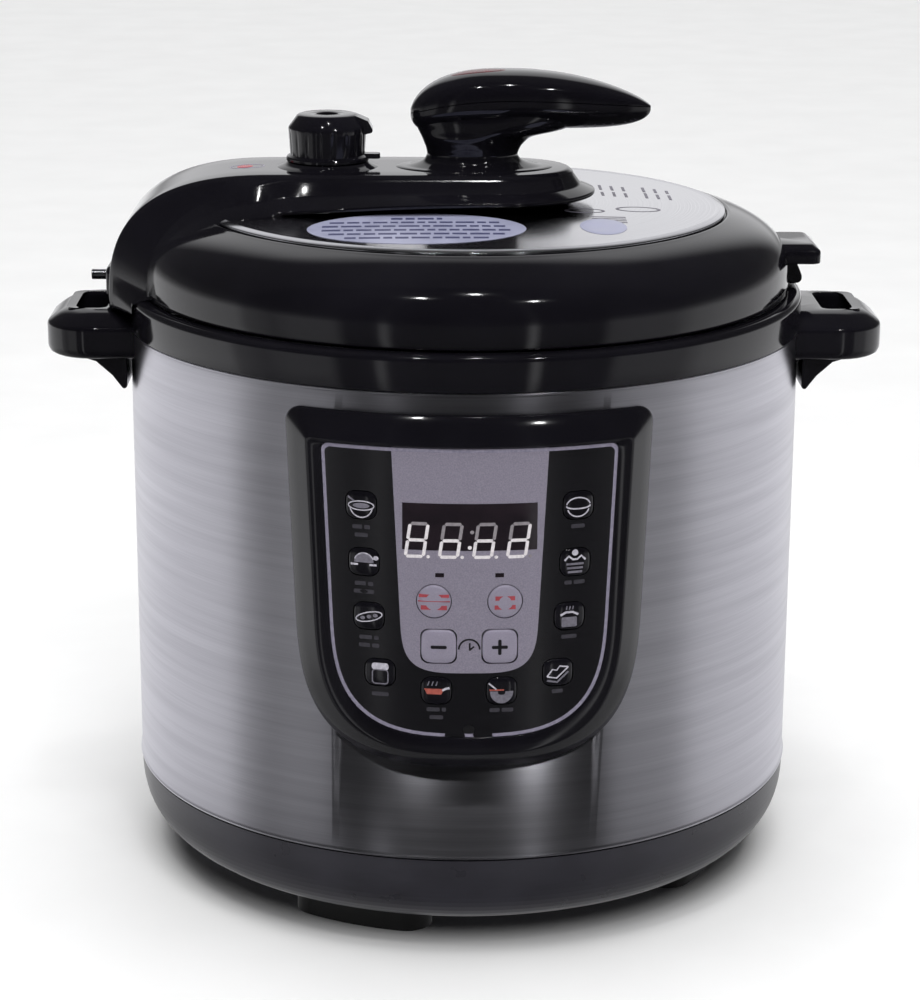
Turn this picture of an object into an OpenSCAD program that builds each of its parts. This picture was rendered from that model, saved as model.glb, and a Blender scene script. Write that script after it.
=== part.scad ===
// Electric pressure cooker with a bayonet lid. Millimetres, +Z up.
// The floor is z = 0, the body's axis is x = y = 0 and the control panel faces -Y.

/* [Body] */
// Outer radius of the steel sleeve
sleeve_r = 150; // [149:0.5:151]
// Height of the seam between the base and the sleeve
seam_z = 46.5; // [46:0.5:48]
// Height of the steel sleeve
sleeve_h = 201.6; // [201:0.1:203]
// Wall of the steel sleeve
sleeve_wall = 1; // [0.8:0.1:1.2]
// Height of the collar ring
collar_h = 15.4; // [15:0.1:16]
// How far each side handle reaches from the body's axis
side_handle_reach = 186.5; // [184:0.5:188]
// Half width of a side handle, front to back
side_handle_half_w = 34.5; // [33:0.5:36]

/* [Pots] */
// Outer radius of the inner pot
pot_r = 111.5; // [111:0.1:112]
// Wall of the inner pot
pot_wall = 1.5; // [1.2:0.1:1.8]
// Height of the inner pot's bottom
pot_z = 96.5; // [96:0.1:97]
// Height of the inner pot's rim
pot_rim_z = 246.5; // [246:0.1:247]
// Inner radius of the outer pot
outer_pot_r = 114; // [113.5:0.1:115]

/* [Lid] */
// Outer radius of the lid shell
lid_r = 145; // [144:0.5:146]
// Height of the lid shell's lower edge
lid_z = 264.2; // [264:0.1:265]
// Height of the dome above the lid's straight side
dome_h = 37.8; // [37:0.1:38.5]
// Radius of the steel insert in the lid
insert_r = 116; // [115:0.5:117]
// Number of lid lugs and of flange lugs
lug_count = 6; // [6]
// Angle that the lid turns to lock
lock_angle = 30; // [28:1:30]

/* [Bridge and handle] */
// Height of the bridge's top
bridge_top_z = 316; // [315:0.5:317]
// Length along x from the body's axis to the steam valve
valve_x = -61.2; // [-62:0.1:-59]
// Length along x from the body's axis to the float valve
float_x = -98; // [-99:0.5:-96]
// Height of the handle's top
handle_top_z = 359.1; // [358:0.1:361]
// Height of the line between the handle's two halves at the handle's tip
handle_split_z = 343; // [342.5:0.5:343.5]

/* [Control panel] */
// Radius of the raised face of the bezel
panel_face_r = 157; // [156.5:0.5:157.5]
// Radius of the overlay's surface
overlay_r = 155.3; // [155:0.1:155.6]
// Key travel
key_travel = 0.6; // [0.4:0.1:0.8]

/* [Hidden] */
$fn = 96;

BLACK = "#17161b";
BASE_GREY = "#2b2a30";
STEEL = "#b9b9c2";
ALUMINIUM = "#c9cacc";
SILVER = "#8d8996";
GREEN = "#2c5a3c";
RED = "#a01c28";

collar_z = seam_z + sleeve_h;
collar_top_z = collar_z + collar_h;
side_z = lid_z + 4.3;
insert_rim_z = 299;
insert_rise = 2;
insert_t = 2;
shelf_z = 244.7;
flange_top_z = 256.5;
lug_z = 254;
plate_top_z = 268;
rod_z = 266.8;
display_w = 54.8;
display_h = 19.8;
display_z = 193.8;
board_y = -139.6;
switch_t = 3.5;
stem_end_y = board_y - switch_t - key_travel - 0.1;

// Sizes of the program keys, radius of the round silver keys and width of the square ones
KEY_W = 12.4;
KEY_H = 11.6;
ROUND_KEY_R = 7;
SQUARE_KEY = 14.4;
PANEL_SCREW_Z = 106.5;

// ---------------------------------------------------------------- shared shapes

// Solid through a list of closed rings with equal point counts, capped at both ends
module loft(rings) {
    n = len(rings[0]);
    m = len(rings);
    points = [for (r = rings) for (p = r) p];
    sides = [for (i = [0:m - 2]) for (j = [0:n - 1]) let (a = i * n + j, b = i * n + (j + 1) % n)
        each [[a, b, b + n], [a, b + n, a + n]]];
    first = [for (j = [n - 1:-1:0]) j];
    last = [for (j = [0:n - 1]) (m - 1) * n + j];
    polyhedron(points, concat([first], sides, [last]));
}

// Closed loop through a list of rings, where the last ring joins the first
module loop_loft(rings) {
    n = len(rings[0]);
    m = len(rings);
    points = [for (r = rings) for (p = r) p];
    sides = [for (i = [0:m - 1]) for (j = [0:n - 1]) let (a = i * n + j, b = i * n + (j + 1) % n,
        c = ((i + 1) % m) * n + j, d = ((i + 1) % m) * n + (j + 1) % n)
        each [[a, b, d], [a, d, c]]];
    polyhedron(points, sides);
}

// Tube from radius r1 to r2 and from height z1 to z2
module ring(r1, r2, z1, z2) {
    rotate_extrude($fn = 180) translate([r1, z1]) square([r2 - r1, z2 - z1]);
}

// Part of a tube, centred on an angle
module ring_part(r1, r2, z1, z2, width, angle) {
    rotate([0, 0, angle - width / 2])
        rotate_extrude(angle = width, $fn = 180) translate([r1, z1]) square([r2 - r1, z2 - z1]);
}

// Coil spring along +Z from z = 0: wire of 8 sides, 12 rings a turn
module coil(radius, wire_r, height, turns) {
    steps = turns * 12;
    loft([for (i = [0:steps]) let (a = i * 30, z = wire_r + (height - 2 * wire_r) * i / steps)
        [for (k = [0:7]) let (w = k * 45)
            let (r = radius + wire_r * cos(w)) [r * cos(a), r * sin(a), z + wire_r * sin(w)]]]);
}

// Rod along Y from y1 to y2 at x, z
module y_rod(r, x, z, y1, y2) {
    translate([x, y2, z]) rotate([90, 0, 0]) cylinder(r = r, h = y2 - y1);
}

// Rod along X from x1 to x2 at height z
module x_rod(r, z, x1, x2) {
    translate([x1, 0, z]) rotate([0, 90, 0]) cylinder(r = r, h = x2 - x1);
}

// Box from one corner to the other
module block(low, high) {
    translate(low) cube(high - low);
}

// Height of the lid's dome at radius r
function dome_z(r, outer_r = lid_r, rise = dome_h) =
    side_z + rise * pow(1 - pow(min(r / outer_r, 1), 3), 1 / 3);

// Height of the insert's surface at radius r
function insert_z(r) = insert_rim_z + insert_rise * (1 - pow(r / insert_r, 2));

// ---------------------------------------------------------------- base and body

// Curve of the base's side from the seam down to the floor edge
function base_curve(bottom_r, depth) = [for (i = [0:14]) let (u = i / 14)
    [bottom_r + 34 * sqrt(1 - pow(u, 2.65)), seam_z - 0.6 - (depth - 0.6) * u]];

// The four feet, or with a little growth the pockets that hold them
module foot_shapes(grow = 0) {
    for (k = [0:3]) rotate([0, 0, -114 + 90 * k]) {
        ring_part(100 - grow, 122.5 + grow, -grow, 9.4 + grow / 2, 21, 0);
        for (side = [-1, 1]) rotate([0, 0, side * 10.5]) translate([111.25, 0, -grow])
            cylinder(r = 11.25 + grow, h = 9.4 + grow * 1.5);
    }
}

module base_tray() {
    color(BASE_GREY) difference() {
        union() {
            rotate_extrude($fn = 180) polygon(concat(base_curve(116, 37.1), [[0, 9.4], [0, 12.4]],
                [for (i = [14:-1:0]) base_curve(113, 34.1)[i]]));
            ring(110, 116, 5.5, 9.5);
            ring(146, 148.7, seam_z - 4, seam_z + 8);
            for (a = [45:90:315]) rotate([0, 0, a]) translate([98, 0, 12]) cylinder(r = 5, h = 20);
        }
        foot_shapes(0.05);
        for (a = [0:22.5:337.5]) rotate([0, 0, a]) block([35, -2, 0], [84, 2, 14]);
        for (a = [45:90:315]) rotate([0, 0, a]) translate([98, 0, 8]) cylinder(r = 1.8, h = 30);
        block([-15.2, 130, 19], [15.2, 152, 41.2]);
        block([-17.1, 147.8, 17.5], [17.1, 152, 42.7]);
    }
}

module feet() {
    color("#242424") foot_shapes();
}

module base_screws() {
    color(STEEL) for (a = [45:90:315]) rotate([0, 0, a]) translate([98, 0, 0]) {
        translate([0, 0, 7.2]) cylinder(r = 3.4, h = 2.2);
        translate([0, 0, 9]) cylinder(r = 1.75, h = 18);
    }
}

module steel_sleeve() {
    color(STEEL) difference() {
        union() {
            ring(sleeve_r - sleeve_wall, sleeve_r, seam_z, collar_z);
            for (z = [seam_z + 0.8, collar_z - 0.8]) rotate_extrude($fn = 180)
                translate([sleeve_r - 0.2, z]) circle(r = 0.8, $fn = 32);
        }
        panel_prism(56, 222, 108, 160);
        y_rod(1.4, 0, PANEL_SCREW_Z, -160, -140);
    }
}

// Outline of a wing handle and the wedge that carries it, on the +X side
module side_handle() {
    top = 255.5;
    r = 22;
    difference() {
        union() {
            hull() {
                for (side = [-1, 1]) translate([side_handle_reach - r, side * (side_handle_half_w - r), 0]) {
                    translate([0, 0, 237]) cylinder(r = r, h = 12, $fn = 40);
                    translate([0, 0, 234.8]) cylinder(r = r - 4, h = 20.7, $fn = 40);
                    translate([0, 0, 237]) cylinder(r = r - 1.6, h = 16, $fn = 40);
                }
                block([130, 3 - side_handle_half_w, 234.8], [140, side_handle_half_w - 3, top]);
                block([130, -side_handle_half_w, 237], [140, side_handle_half_w, 250]);
            }
            translate([0, 26, 0]) rotate([90, 0, 0]) linear_extrude(52)
                polygon([[140, 236], [177, 236], [163, 232], [155.5, 225], [151.5, 220], [140, 220]]);
        }
        ring_part(120, sleeve_r + 0.9, 200, collar_z, 60, 0);
        cylinder(r = sleeve_r, h = 300);
        block([160, -18, 225], [176, 18, 260]);
    }
}

module collar_ring() {
    color(BLACK) {
        rotate_extrude($fn = 180) polygon(concat([[137.4, collar_z], [sleeve_r + 1, collar_z]],
            [for (a = [0:15:90]) [sleeve_r - 2 + 3 * cos(a), collar_top_z - 3 + 3 * sin(a)]],
            [[143.5, collar_top_z], [142.5, flange_top_z - 2], [137.4, flange_top_z - 2]]));
        ring(146.5, 148.8, collar_z - 8, collar_z + 1);
        side_handle();
        mirror([1, 0, 0]) side_handle();
    }
}

module outer_pot() {
    color(ALUMINIUM) difference() {
        union() {
            rotate_extrude($fn = 180) polygon([[24, 76], [104, 76], [outer_pot_r + 1.5, 88],
                [outer_pot_r + 1.5, shelf_z - 2], [136, shelf_z - 2], [136, flange_top_z - 2],
                [141, flange_top_z - 2], [141, flange_top_z], [134, flange_top_z], [134, shelf_z],
                [outer_pot_r, shelf_z], [outer_pot_r, 88.5], [103.5, 77.5], [24, 77.5]]);
            for (k = [0:lug_count - 1])
                ring_part(128, 134.5, lug_z, flange_top_z, 26, 30 + k * 360 / lug_count);
            for (a = [0:120:240]) rotate([0, 0, a + 60]) translate([70, 0, 77]) cylinder(r = 6, h = 7);
        }
        for (a = [0:120:240]) rotate([0, 0, a + 60]) translate([70, 0, 70]) cylinder(r = 2.2, h = 20);
    }
}

module heating_plate() {
    color(ALUMINIUM) difference() {
        union() {
            translate([0, 0, 84]) cylinder(r = 92, h = 8, $fn = 180);
            rotate_extrude($fn = 180) polygon([[0, 91], [92, 91], [90, 94.5], [84, 95.9], [0, 96.1]]);
            rotate_extrude($fn = 120) translate([66, 84]) circle(r = 5, $fn = 32);
            for (x = [-6, 6]) translate([x, 70, 81]) rotate([-90, 0, 0]) cylinder(r = 2.5, h = 20);
        }
        translate([0, 0, 70]) cylinder(r = 13.4, h = 40);
        for (a = [0:120:240]) rotate([0, 0, a + 60]) translate([70, 0, 70]) cylinder(r = 6.2, h = 14);
    }
}

module sensor_plunger() {
    color(ALUMINIUM) rotate_extrude() polygon([[0, 88], [11, 88], [11, 84], [13, 84], [13, 95], [11.8, 96.2],
        [0, 96.2]]);
}

module sensor_spring() {
    color(STEEL) translate([0, 0, 70.2]) coil(9, 0.7, 17.6, 5);
}

module pressure_plate() {
    color(STEEL) difference() {
        union() {
            translate([0, 0, 68]) cylinder(r = 46, h = 2);
            ring(40, 46, 69, 76);
        }
        for (a = [0:90:270]) rotate([0, 0, a]) translate([30, 0, 60]) cylinder(r = 4, h = 12);
    }
}

module pressure_switch() {
    color("#d8d2c0") {
        block([-14, -9, 48], [14, 9, 62]);
        translate([0, 0, 61]) cylinder(r = 3, h = 7);
    }
    color(STEEL) for (x = [-9, 9]) block([x - 3, -0.4, 40], [x + 3, 0.4, 48.5]);
}

module thermal_fuse() {
    color("#e6e2d6") translate([38, 60, 71]) rotate([0, 90, 0]) cylinder(r = 4, h = 22);
    color(STEEL) block([46, 52, 74.2], [52, 68, 76]);
}

// ---------------------------------------------------------------- control panel

// Half width of a panel outline at height z: tapering sides with a rounded bottom
function panel_half(w, top, bottom, z) = let (c = 156.5, u = max(0, (c - z) / (c - bottom)))
    (w - 0.041 * (top - z)) * pow(max(0, 1 - pow(u, 3.3)), 1 / 3.3);

// Closed outline of the panel, 56 points, with rounded top corners
function panel_outline(w, top, bottom, corner) = let (
    right = concat(
        [for (i = [0:11]) let (a = 90 * i / 12, z = bottom + (156.5 - bottom) * (1 - cos(a)))
            [panel_half(w, top, bottom, z), z]],
        [for (i = [0:11]) let (z = 156.5 + (top - corner - 156.5) * i / 12)
            [panel_half(w, top, bottom, z), z]],
        [for (i = [0:4]) let (a = 22.5 * i, edge = panel_half(w, top, bottom, top - corner))
            [edge - corner * (1 - cos(a)), top - corner + corner * sin(a)]]),
    inner = [for (i = [4:-1:1]) [right[28][0] * i / 5, top]])
    concat(right, inner, [for (i = [1:4]) [-right[28][0] * i / 5, top]],
        [for (i = [28:-1:1]) [-right[i][0], right[i][1]]]);

// A panel outline laid on a cylinder of radius r
function on_drum(outline, r) = [for (p = outline) [p[0], -sqrt(r * r - p[0] * p[0]), p[1]]];

// Solid prism of a panel outline along -Y, from the body's axis out to radius reach
module panel_prism(w, top, bottom, reach) {
    rotate([90, 0, 0]) translate([0, 0, 100]) linear_extrude(reach - 100)
        polygon(panel_outline(w, top, bottom, 3));
}

// Curved sheet between two radii with a panel outline
module panel_sheet(w, top, bottom, r1, r2) {
    intersection() {
        panel_prism(w, top, bottom, 170);
        ring(r1, r2, 80, 250);
    }
}

module panel_bezel() {
    outer = panel_outline(75.5, 239, 89, 7);
    face = panel_outline(66.8, 228.3, 96.7, 2);
    inner = panel_outline(60.6, 226.6, 103.4, 3);
    color(BLACK) loop_loft([on_drum(outer, sleeve_r + 0.6), on_drum(inner, sleeve_r + 0.6),
        on_drum(inner, overlay_r + 0.4), on_drum(face, panel_face_r)]);
}

// Bores through the panel for every key
module key_bores(gap) {
    for (p = KEY_PLACES) rounded_key(p[0], p[1], KEY_W, KEY_H, 4, gap);
    for (x = [-14.5, 14.5]) y_rod(ROUND_KEY_R + gap, x, 162.3, -170, -130);
    for (x = [-12.5, 12.5]) rounded_key(x, 143, SQUARE_KEY, SQUARE_KEY, 3, gap);
}

// Rounded rectangle centred on x, z and run through the panel along Y, grown by gap
module rounded_key(x, z, width, height, corner, gap) {
    half_w = width / 2 + gap;
    half_h = height / 2 + gap;
    r = corner + gap;
    block([x - half_w + r, -170, z - half_h], [x + half_w - r, -130, z + half_h]);
    block([x - half_w, -170, z - half_h + r], [x + half_w, -130, z + half_h - r]);
    for (i = [-1, 1]) for (k = [-1, 1]) y_rod(r, x + i * (half_w - r), z + k * (half_h - r), -170, -130);
}

KEY_PLACES = [[-44, 201.5], [-43, 177.5], [-41, 154.5], [-36.5, 130.5], [-13.4, 123.8],
    [44, 201.5], [43, 177.5], [41, 154.5], [36.5, 130.5], [13.4, 123.8]];

module display_cut(gap) {
    block([-display_w / 2 - gap, -170, display_z - display_h / 2 - gap],
        [display_w / 2 + gap, -130, display_z + display_h / 2 + gap]);
}

module indicator_cut(gap) {
    for (x = [-12.2, 12.2]) block([x - 1.8 - gap, -170, 172.6 - gap], [x + 1.8 + gap, -130, 174.4 + gap]);
}

module panel_carrier() {
    color("#303036") difference() {
        panel_sheet(60.4, 226.4, 103.6, sleeve_r + 0.2, overlay_r - 0.8);
        key_bores(0.3);
        display_cut(0);
        indicator_cut(0);
        y_rod(1.2, 0, PANEL_SCREW_Z, -170, -130);
    }
}

module panel_overlay() {
    color(BLACK) difference() {
        panel_sheet(60.4, 226.4, 103.6, overlay_r - 0.8, overlay_r);
        key_bores(0.3);
        display_cut(0);
        indicator_cut(0);
        y_rod(2.4, 0, PANEL_SCREW_Z, -170, -130);
    }
}

module panel_screw() {
    color("#0c0c0e") {
        y_rod(2.3, 0, PANEL_SCREW_Z, -155.2, -154.5);
        y_rod(1.15, 0, PANEL_SCREW_Z, -155, -146);
    }
}

// Smoked window with the two indicator lenses moulded from the same plastic
module display_window() {
    color([0.1, 0.1, 0.12, 0.6]) {
        intersection() {
            display_cut(-0.05);
            ring(overlay_r - 0.8, overlay_r, 150, 220);
        }
        intersection() {
            indicator_cut(-0.05);
            ring(sleeve_r + 1, overlay_r, 150, 220);
        }
    }
}

module display_module() {
    color("#1d1a22") block([-26, -151.2, display_z - 9.5], [26, board_y, display_z + 9.5]);
}

module control_board() {
    color(GREEN) block([-49, board_y, 116], [49, board_y + 1.6, 216]);
}

// One tact switch under each key
module key_switches() {
    color("#2a2a2a") for (p = concat(KEY_PLACES, [[-14.5, 162.3], [14.5, 162.3], [-12.5, 143], [12.5, 143]]))
        block([p[0] - 3, board_y - switch_t, p[1] - 3], [p[0] + 3, board_y, p[1] + 3]);
}

// Keys have a curved face that follows the panel and a stem that ends above its switch
module key_face(dome) {
    intersection() {
        children();
        difference() {
            ring(100, overlay_r + dome, 100, 230);
            ring(90, sleeve_r + 1.6, 90, 240);
        }
    }
}

module program_key(i) {
    p = KEY_PLACES[i];
    color(BLACK) {
        key_face(1) rounded_key(p[0], p[1], KEY_W, KEY_H, 4, 0);
        y_rod(2, p[0], p[1], -sqrt(pow(sleeve_r + 3, 2) - p[0] * p[0]), stem_end_y);
    }
}

module round_key(x) {
    color(SILVER) {
        key_face(1.3) y_rod(ROUND_KEY_R, x, 162.3, -170, -130);
        y_rod(2, x, 162.3, 2.5 - overlay_r, stem_end_y);
    }
}

module square_key(x) {
    color(SILVER) {
        key_face(1.3) rounded_key(x, 143, SQUARE_KEY, SQUARE_KEY, 3, 0);
        y_rod(2, x, 143, 2.5 - overlay_r, stem_end_y);
    }
}

module soup_key() { program_key(0); }
module meat_key() { program_key(1); }
module bean_key() { program_key(2); }
module yogurt_key() { program_key(3); }
module saute_key() { program_key(4); }
module rice_key() { program_key(5); }
module cake_key() { program_key(6); }
module steam_key() { program_key(7); }
module bread_key() { program_key(8); }
module slow_cook_key() { program_key(9); }
module cancel_key() { round_key(-14.5); }
module timer_key() { round_key(14.5); }
module minus_key() { square_key(-12.5); }
module plus_key() { square_key(12.5); }

// ---------------------------------------------------------------- power and the back

module power_board() {
    color(GREEN) block([-45, -70, 22], [45, 10, 23.6]);
    color("#33333a") block([-38, -60, 23.6], [-18, -44, 38]);
    color("#23425e") translate([22, -48, 23.6]) cylinder(r = 8, h = 18);
    color("#b8a86a") block([-8, -30, 23.6], [18, -6, 40]);
    color("#d0d0d0") for (x = [-36, 36]) for (y = [-64, 4]) translate([x, y, 12.4]) cylinder(r = 3, h = 9.6);
}

module power_inlet() {
    color("#1a1a1a") difference() {
        union() {
            block([-15, 122, 19.2], [15, 147.4, 41]);
            block([-17, 147.9, 17.6], [17, 149.4, 42.6]);
            block([-15, 147.3, 19.2], [15, 148, 41]);
        }
        block([-12, 127, 22], [12, 160, 38.2]);
        for (p = [[-7, 28.5], [7, 28.5], [0, 33.5]])
            block([p[0] - 1, 120, p[1] - 2], [p[0] + 1, 130, p[1] + 2]);
    }
}

module inlet_pins() {
    color("#b5974a") for (p = [[-7, 28.5], [7, 28.5], [0, 33.5]])
        block([p[0] - 1, 116, p[1] - 2], [p[0] + 1, 140, p[1] + 2]);
}

module cup_bracket() {
    color(BLACK) {
        ring_part(sleeve_r + 0.1, sleeve_r + 1.1, 190, 242, 26, 90);
        for (side = [-1, 1]) ring_part(sleeve_r + 0.6, sleeve_r + 8, 208, 210, 3, 90 + side * 11.3);
        ring_part(sleeve_r + 0.6, sleeve_r + 9, 239, 241, 10, 90);
    }
}

module condensation_cup() {
    color([0.85, 0.88, 0.9, 0.5]) {
        difference() {
            intersection() {
                block([-25, 140, 188], [25, 161.6, 237]);
                ring(sleeve_r + 1.4, 170, 180, 240);
            }
            intersection() {
                block([-23.4, 140, 189.8], [23.4, 160, 240]);
                ring(sleeve_r + 3, 170, 180, 250);
            }
        }
        for (side = [-1, 1]) ring_part(sleeve_r + 1.4, sleeve_r + 5, 210.3, 213, 2.6, 90 + side * 10.7);
    }
}

// ---------------------------------------------------------------- inner pot and seal

module inner_pot() {
    color(STEEL) rotate_extrude($fn = 180) polygon(concat([[0, pot_z], [pot_r - 12, pot_z]],
        [for (a = [-75:15:0]) [pot_r - 12 + 12 * cos(a), pot_z + 12 + 12 * sin(a)]],
        [[pot_r, 245.2], [122, 245.2], [122, pot_rim_z], [pot_r - pot_wall, pot_rim_z]],
        [for (a = [0:-15:-75]) let (r = 12 - pot_wall) [pot_r - 12 + r * cos(a), pot_z + 12 + r * sin(a)]],
        [[pot_r - 12, pot_z + pot_wall], [0, pot_z + pot_wall]]));
}

module sealing_ring() {
    color([0.9, 0.9, 0.9]) rotate_extrude($fn = 180) polygon([[111, 247], [113, 246.8], [119, 246.8],
        [120.4, 248], [120.4, 258], [118, 259], [111.5, 259], [110.6, 257], [110.6, 249]]);
}

// ---------------------------------------------------------------- lid

module lid_envelope(grow) {
    rotate_extrude($fn = 180) polygon(concat([[0, side_z - 60], [insert_r + 8, side_z - 60],
        [lid_r + grow, lid_z], [lid_r + grow, side_z]],
        [for (i = [1:16]) let (a = 90 - 5 * i, r = lid_r * sin(a)) if (r > insert_r + 1) [r + grow * sin(a),
            dome_z(r) + grow * cos(a)]],
        [[insert_r + 0.5, insert_rim_z + grow + 0.3], [insert_r - 4, insert_z(insert_r - 4) + grow]],
        [for (i = [6:-1:0]) let (r = 16 * i) [r, insert_z(r) + grow]]));
}

module lid_shell() {
    color(BLACK) difference() {
        union() {
            rotate_extrude($fn = 180) polygon(concat([[lid_r - 2.6, lid_z], [lid_r, lid_z]],
                [for (i = [0:16]) let (a = 90 - 3 * i, r = lid_r * sin(a))
                    if (r > insert_r + 0.6) [r, dome_z(r)]],
                [[insert_r + 0.3, dome_z(insert_r + 0.3)],
                    [insert_r + 0.3, insert_z(insert_r) - insert_t - 0.1]],
                [for (i = [7:-1:0]) let (r = 16 * i) [r, insert_z(r) - insert_t - 0.1]],
                [for (i = [0:6]) let (r = 16 * i) [r, insert_z(r) - insert_t - 2.6]],
                [for (i = [12:-1:0]) let (a = 90 - 3.4 * i, r = (lid_r - 2.6) * sin(a))
                    [r, dome_z(r, lid_r - 2.6, dome_h - 2.6) - 0.4]]));
            ring(123.4, lid_r - 1, lid_z, lid_z + 2.2);
            for (k = [0:5]) rotate([0, 0, 30 + 60 * k]) translate([98, 0, plate_top_z])
                cylinder(r = 4.5, h = insert_z(98) - insert_t - 1 - plate_top_z, $fn = 32);
        }
        x_rod(3.1, rod_z, -160, -120);
        for (k = [0:5]) rotate([0, 0, 30 + 60 * k]) translate([98, 0, plate_top_z - 1])
            cylinder(r = 1.6, h = 14);
        translate([valve_x, 0, 250]) cylinder(r = 5.3, h = 80);
        translate([float_x, 0, 250]) cylinder(r = 3.4, h = 80);
    }
}

// Docking tab that stands out over the right side handle, with a hook under it
module lid_tab() {
    color(BLACK) difference() {
        union() {
            block([130, -19, 275.3], [153, 19, 283.8]);
            block([130, -16.5, 275.3], [158, 16.5, 283.8]);
            for (side = [-1, 1]) translate([155.5, side * 16.5, 275.3]) cylinder(r = 2.5, h = 8.5);
            block([152, -18.9, 275.3], [155.5, 18.9, 283.8]);
            translate([143, 8, 0]) rotate([90, 0, 0]) linear_extrude(16)
                polygon([[-3, 276], [5, 276], [8.4, 268], [7.6, 264.6], [2.4, 264.4], [-3, 268]]);
        }
        rotate_extrude($fn = 180) polygon(concat([[0, 260], [lid_r + 0.1, 260]],
            [for (i = [0:16]) let (a = 90 - 3 * i, r = lid_r * sin(a)) [r + 0.1, dome_z(r) + 0.1]],
            [[0, dome_z(70)]]));
    }
}

module lid_insert() {
    color("#d2d2d6") difference() {
        rotate_extrude($fn = 180) polygon(concat(
            [for (i = [0:7]) let (r = 16 * i) [r, insert_z(r) - insert_t]],
            [[insert_r, insert_z(insert_r) - insert_t], [insert_r, insert_rim_z - 0.6],
            [insert_r - 3, insert_z(insert_r - 3) + 0.5], [insert_r - 5, insert_z(insert_r - 5)]],
            [for (i = [6:-1:0]) let (r = 16 * i) [r, insert_z(r)]]));
        translate([valve_x, 0, 250]) cylinder(r = 5.3, h = 80);
        translate([float_x, 0, 250]) cylinder(r = 3.4, h = 80);
    }
}

module lid_label() {
    color("#a3a5b9") intersection() {
        translate([-21.6, -68.5, 290]) rotate([0, 0, 3]) scale([46.5, 32, 1])
            cylinder(r = 1, h = 30, $fn = 64);
        rotate_extrude($fn = 180) polygon(concat(
            [for (i = [0:6]) let (r = 16 * i) [r, insert_z(r) + 0.02]],
            [for (lift = [0.02, 0.3]) let (r = insert_r - 5.2) [r, insert_z(r) + lift]],
            [for (i = [6:-1:0]) let (r = 16 * i) [r, insert_z(r) + 0.3]]));
    }
}

module lid_plate() {
    color(STEEL) difference() {
        union() {
            ring(121, 122.6, 249.5, plate_top_z);
            ring(122, 126, 249.5, 251.5);
            translate([0, 0, plate_top_z - 1.5]) cylinder(r = 122.6, h = 1.5, $fn = 180);
            for (k = [0:lug_count - 1]) ring_part(125, 132, 249.5, 251.5, 24, k * 360 / lug_count);
        }
        translate([valve_x, 0, 250]) cylinder(r = 4, h = 80);
        translate([float_x, 0, 250]) cylinder(r = 3.4, h = 80);
        for (k = [0:5]) rotate([0, 0, 30 + 60 * k]) translate([98, 0, 260]) cylinder(r = 1.6, h = 12);
    }
}

module ring_retainer() {
    color(STEEL) {
        ring(107.5, 109.8, 250, 252);
        for (k = [0:5]) ring_part(108, 109.2, 251, plate_top_z - 1.5, 8, 60 * k);
    }
}

module lid_screws() {
    color(STEEL) for (k = [0:5]) rotate([0, 0, 30 + 60 * k]) translate([98, 0, 0]) {
        translate([0, 0, 264.5]) cylinder(r = 3.5, h = 2);
        translate([0, 0, 266]) cylinder(r = 1.55, h = 14);
    }
}

module steam_shield() {
    color(STEEL) translate([valve_x, 0, 0]) difference() {
        union() {
            ring(9, 10, 252, plate_top_z - 1.5);
            translate([0, 0, 251]) cylinder(r = 10, h = 1.2);
        }
        for (a = [0:45:315]) rotate([0, 0, a]) translate([6.5, 0, 250]) cylinder(r = 1.2, h = 4);
        for (a = [0:60:300]) rotate([0, 0, a]) block([8, -1.5, 255], [12, 1.5, 262]);
    }
}

module vent_pipe() {
    color(STEEL) translate([valve_x, 0, 0]) difference() {
        union() {
            translate([0, 0, 258]) cylinder(r = 3.8, h = 12);
            translate([0, 0, 262.4]) cylinder(r = 7, h = 4, $fn = 6);
            translate([0, 0, plate_top_z]) cylinder(r = 5, h = 326 - plate_top_z);
        }
        translate([0, 0, 250]) cylinder(r = 1.5, h = 90);
    }
}

module float_seal() {
    color("#3a3a3a") translate([float_x, 0, 0]) rotate_extrude() translate([3, 260.6]) square([3, 1.4]);
}

module float_valve() {
    color(RED) translate([float_x, 0, 0]) {
        translate([0, 0, 258]) cylinder(r = 3, h = 56);
        translate([0, 0, 258]) cylinder(r = 5.5, h = 2.6);
        translate([0, 0, 313.5]) cylinder(r = 3.6, h = 1.4);
    }
}

// ---------------------------------------------------------------- bridge over the lid

ARM_X = -80;
ARM_Z = 257.5;
BRIDGE_FOOT_Z = 295.5;
BRIDGE_END_X = 17;

// Closed ring from one side of the bridge, a list of [x, half width, z] from its foot up to its top
function both_sides(side) = concat([for (p = side) [p[0], -p[1], p[2]]],
    [for (i = [len(side) - 1:-1:0]) side[i]]);

// Point at x, z offsets from the arm's centre along a superellipse, and its half width
function arm_point(c, s, reach, rise, half_w) = [ARM_X - reach * c, half_w, ARM_Z + rise * s];

// Rings of the arm that curves down over the lid's edge: foot, joint with the dome, side and top
function arm_rings(inset) = [for (i = [0:11]) let (a = 90 * i / 12, c = pow(cos(a), 2 / 2.75),
    s = pow(sin(a), 2 / 2.75), w = 27 - inset, band = 18 - 15.5 * pow(i / 12, 1.6),
    joint = 37 + 13 * pow(c, 0.35) - 6 * pow(1 - s, 2) - inset, reach = 77.5 - inset, rise = 58.5 - inset)
    both_sides([arm_point(c, s, 53.5, 38, joint), arm_point(c, s, 57, 41.5, joint),
        arm_point(c, s, 58, 42.5, joint - 0.6), arm_point(c, s, reach - band, rise - band, w + 0.9 * band),
        arm_point(c, s, reach - 1.6, rise - 1.6, w + 0.6), arm_point(c, s, reach, rise, w - 1.4)])];

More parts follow.
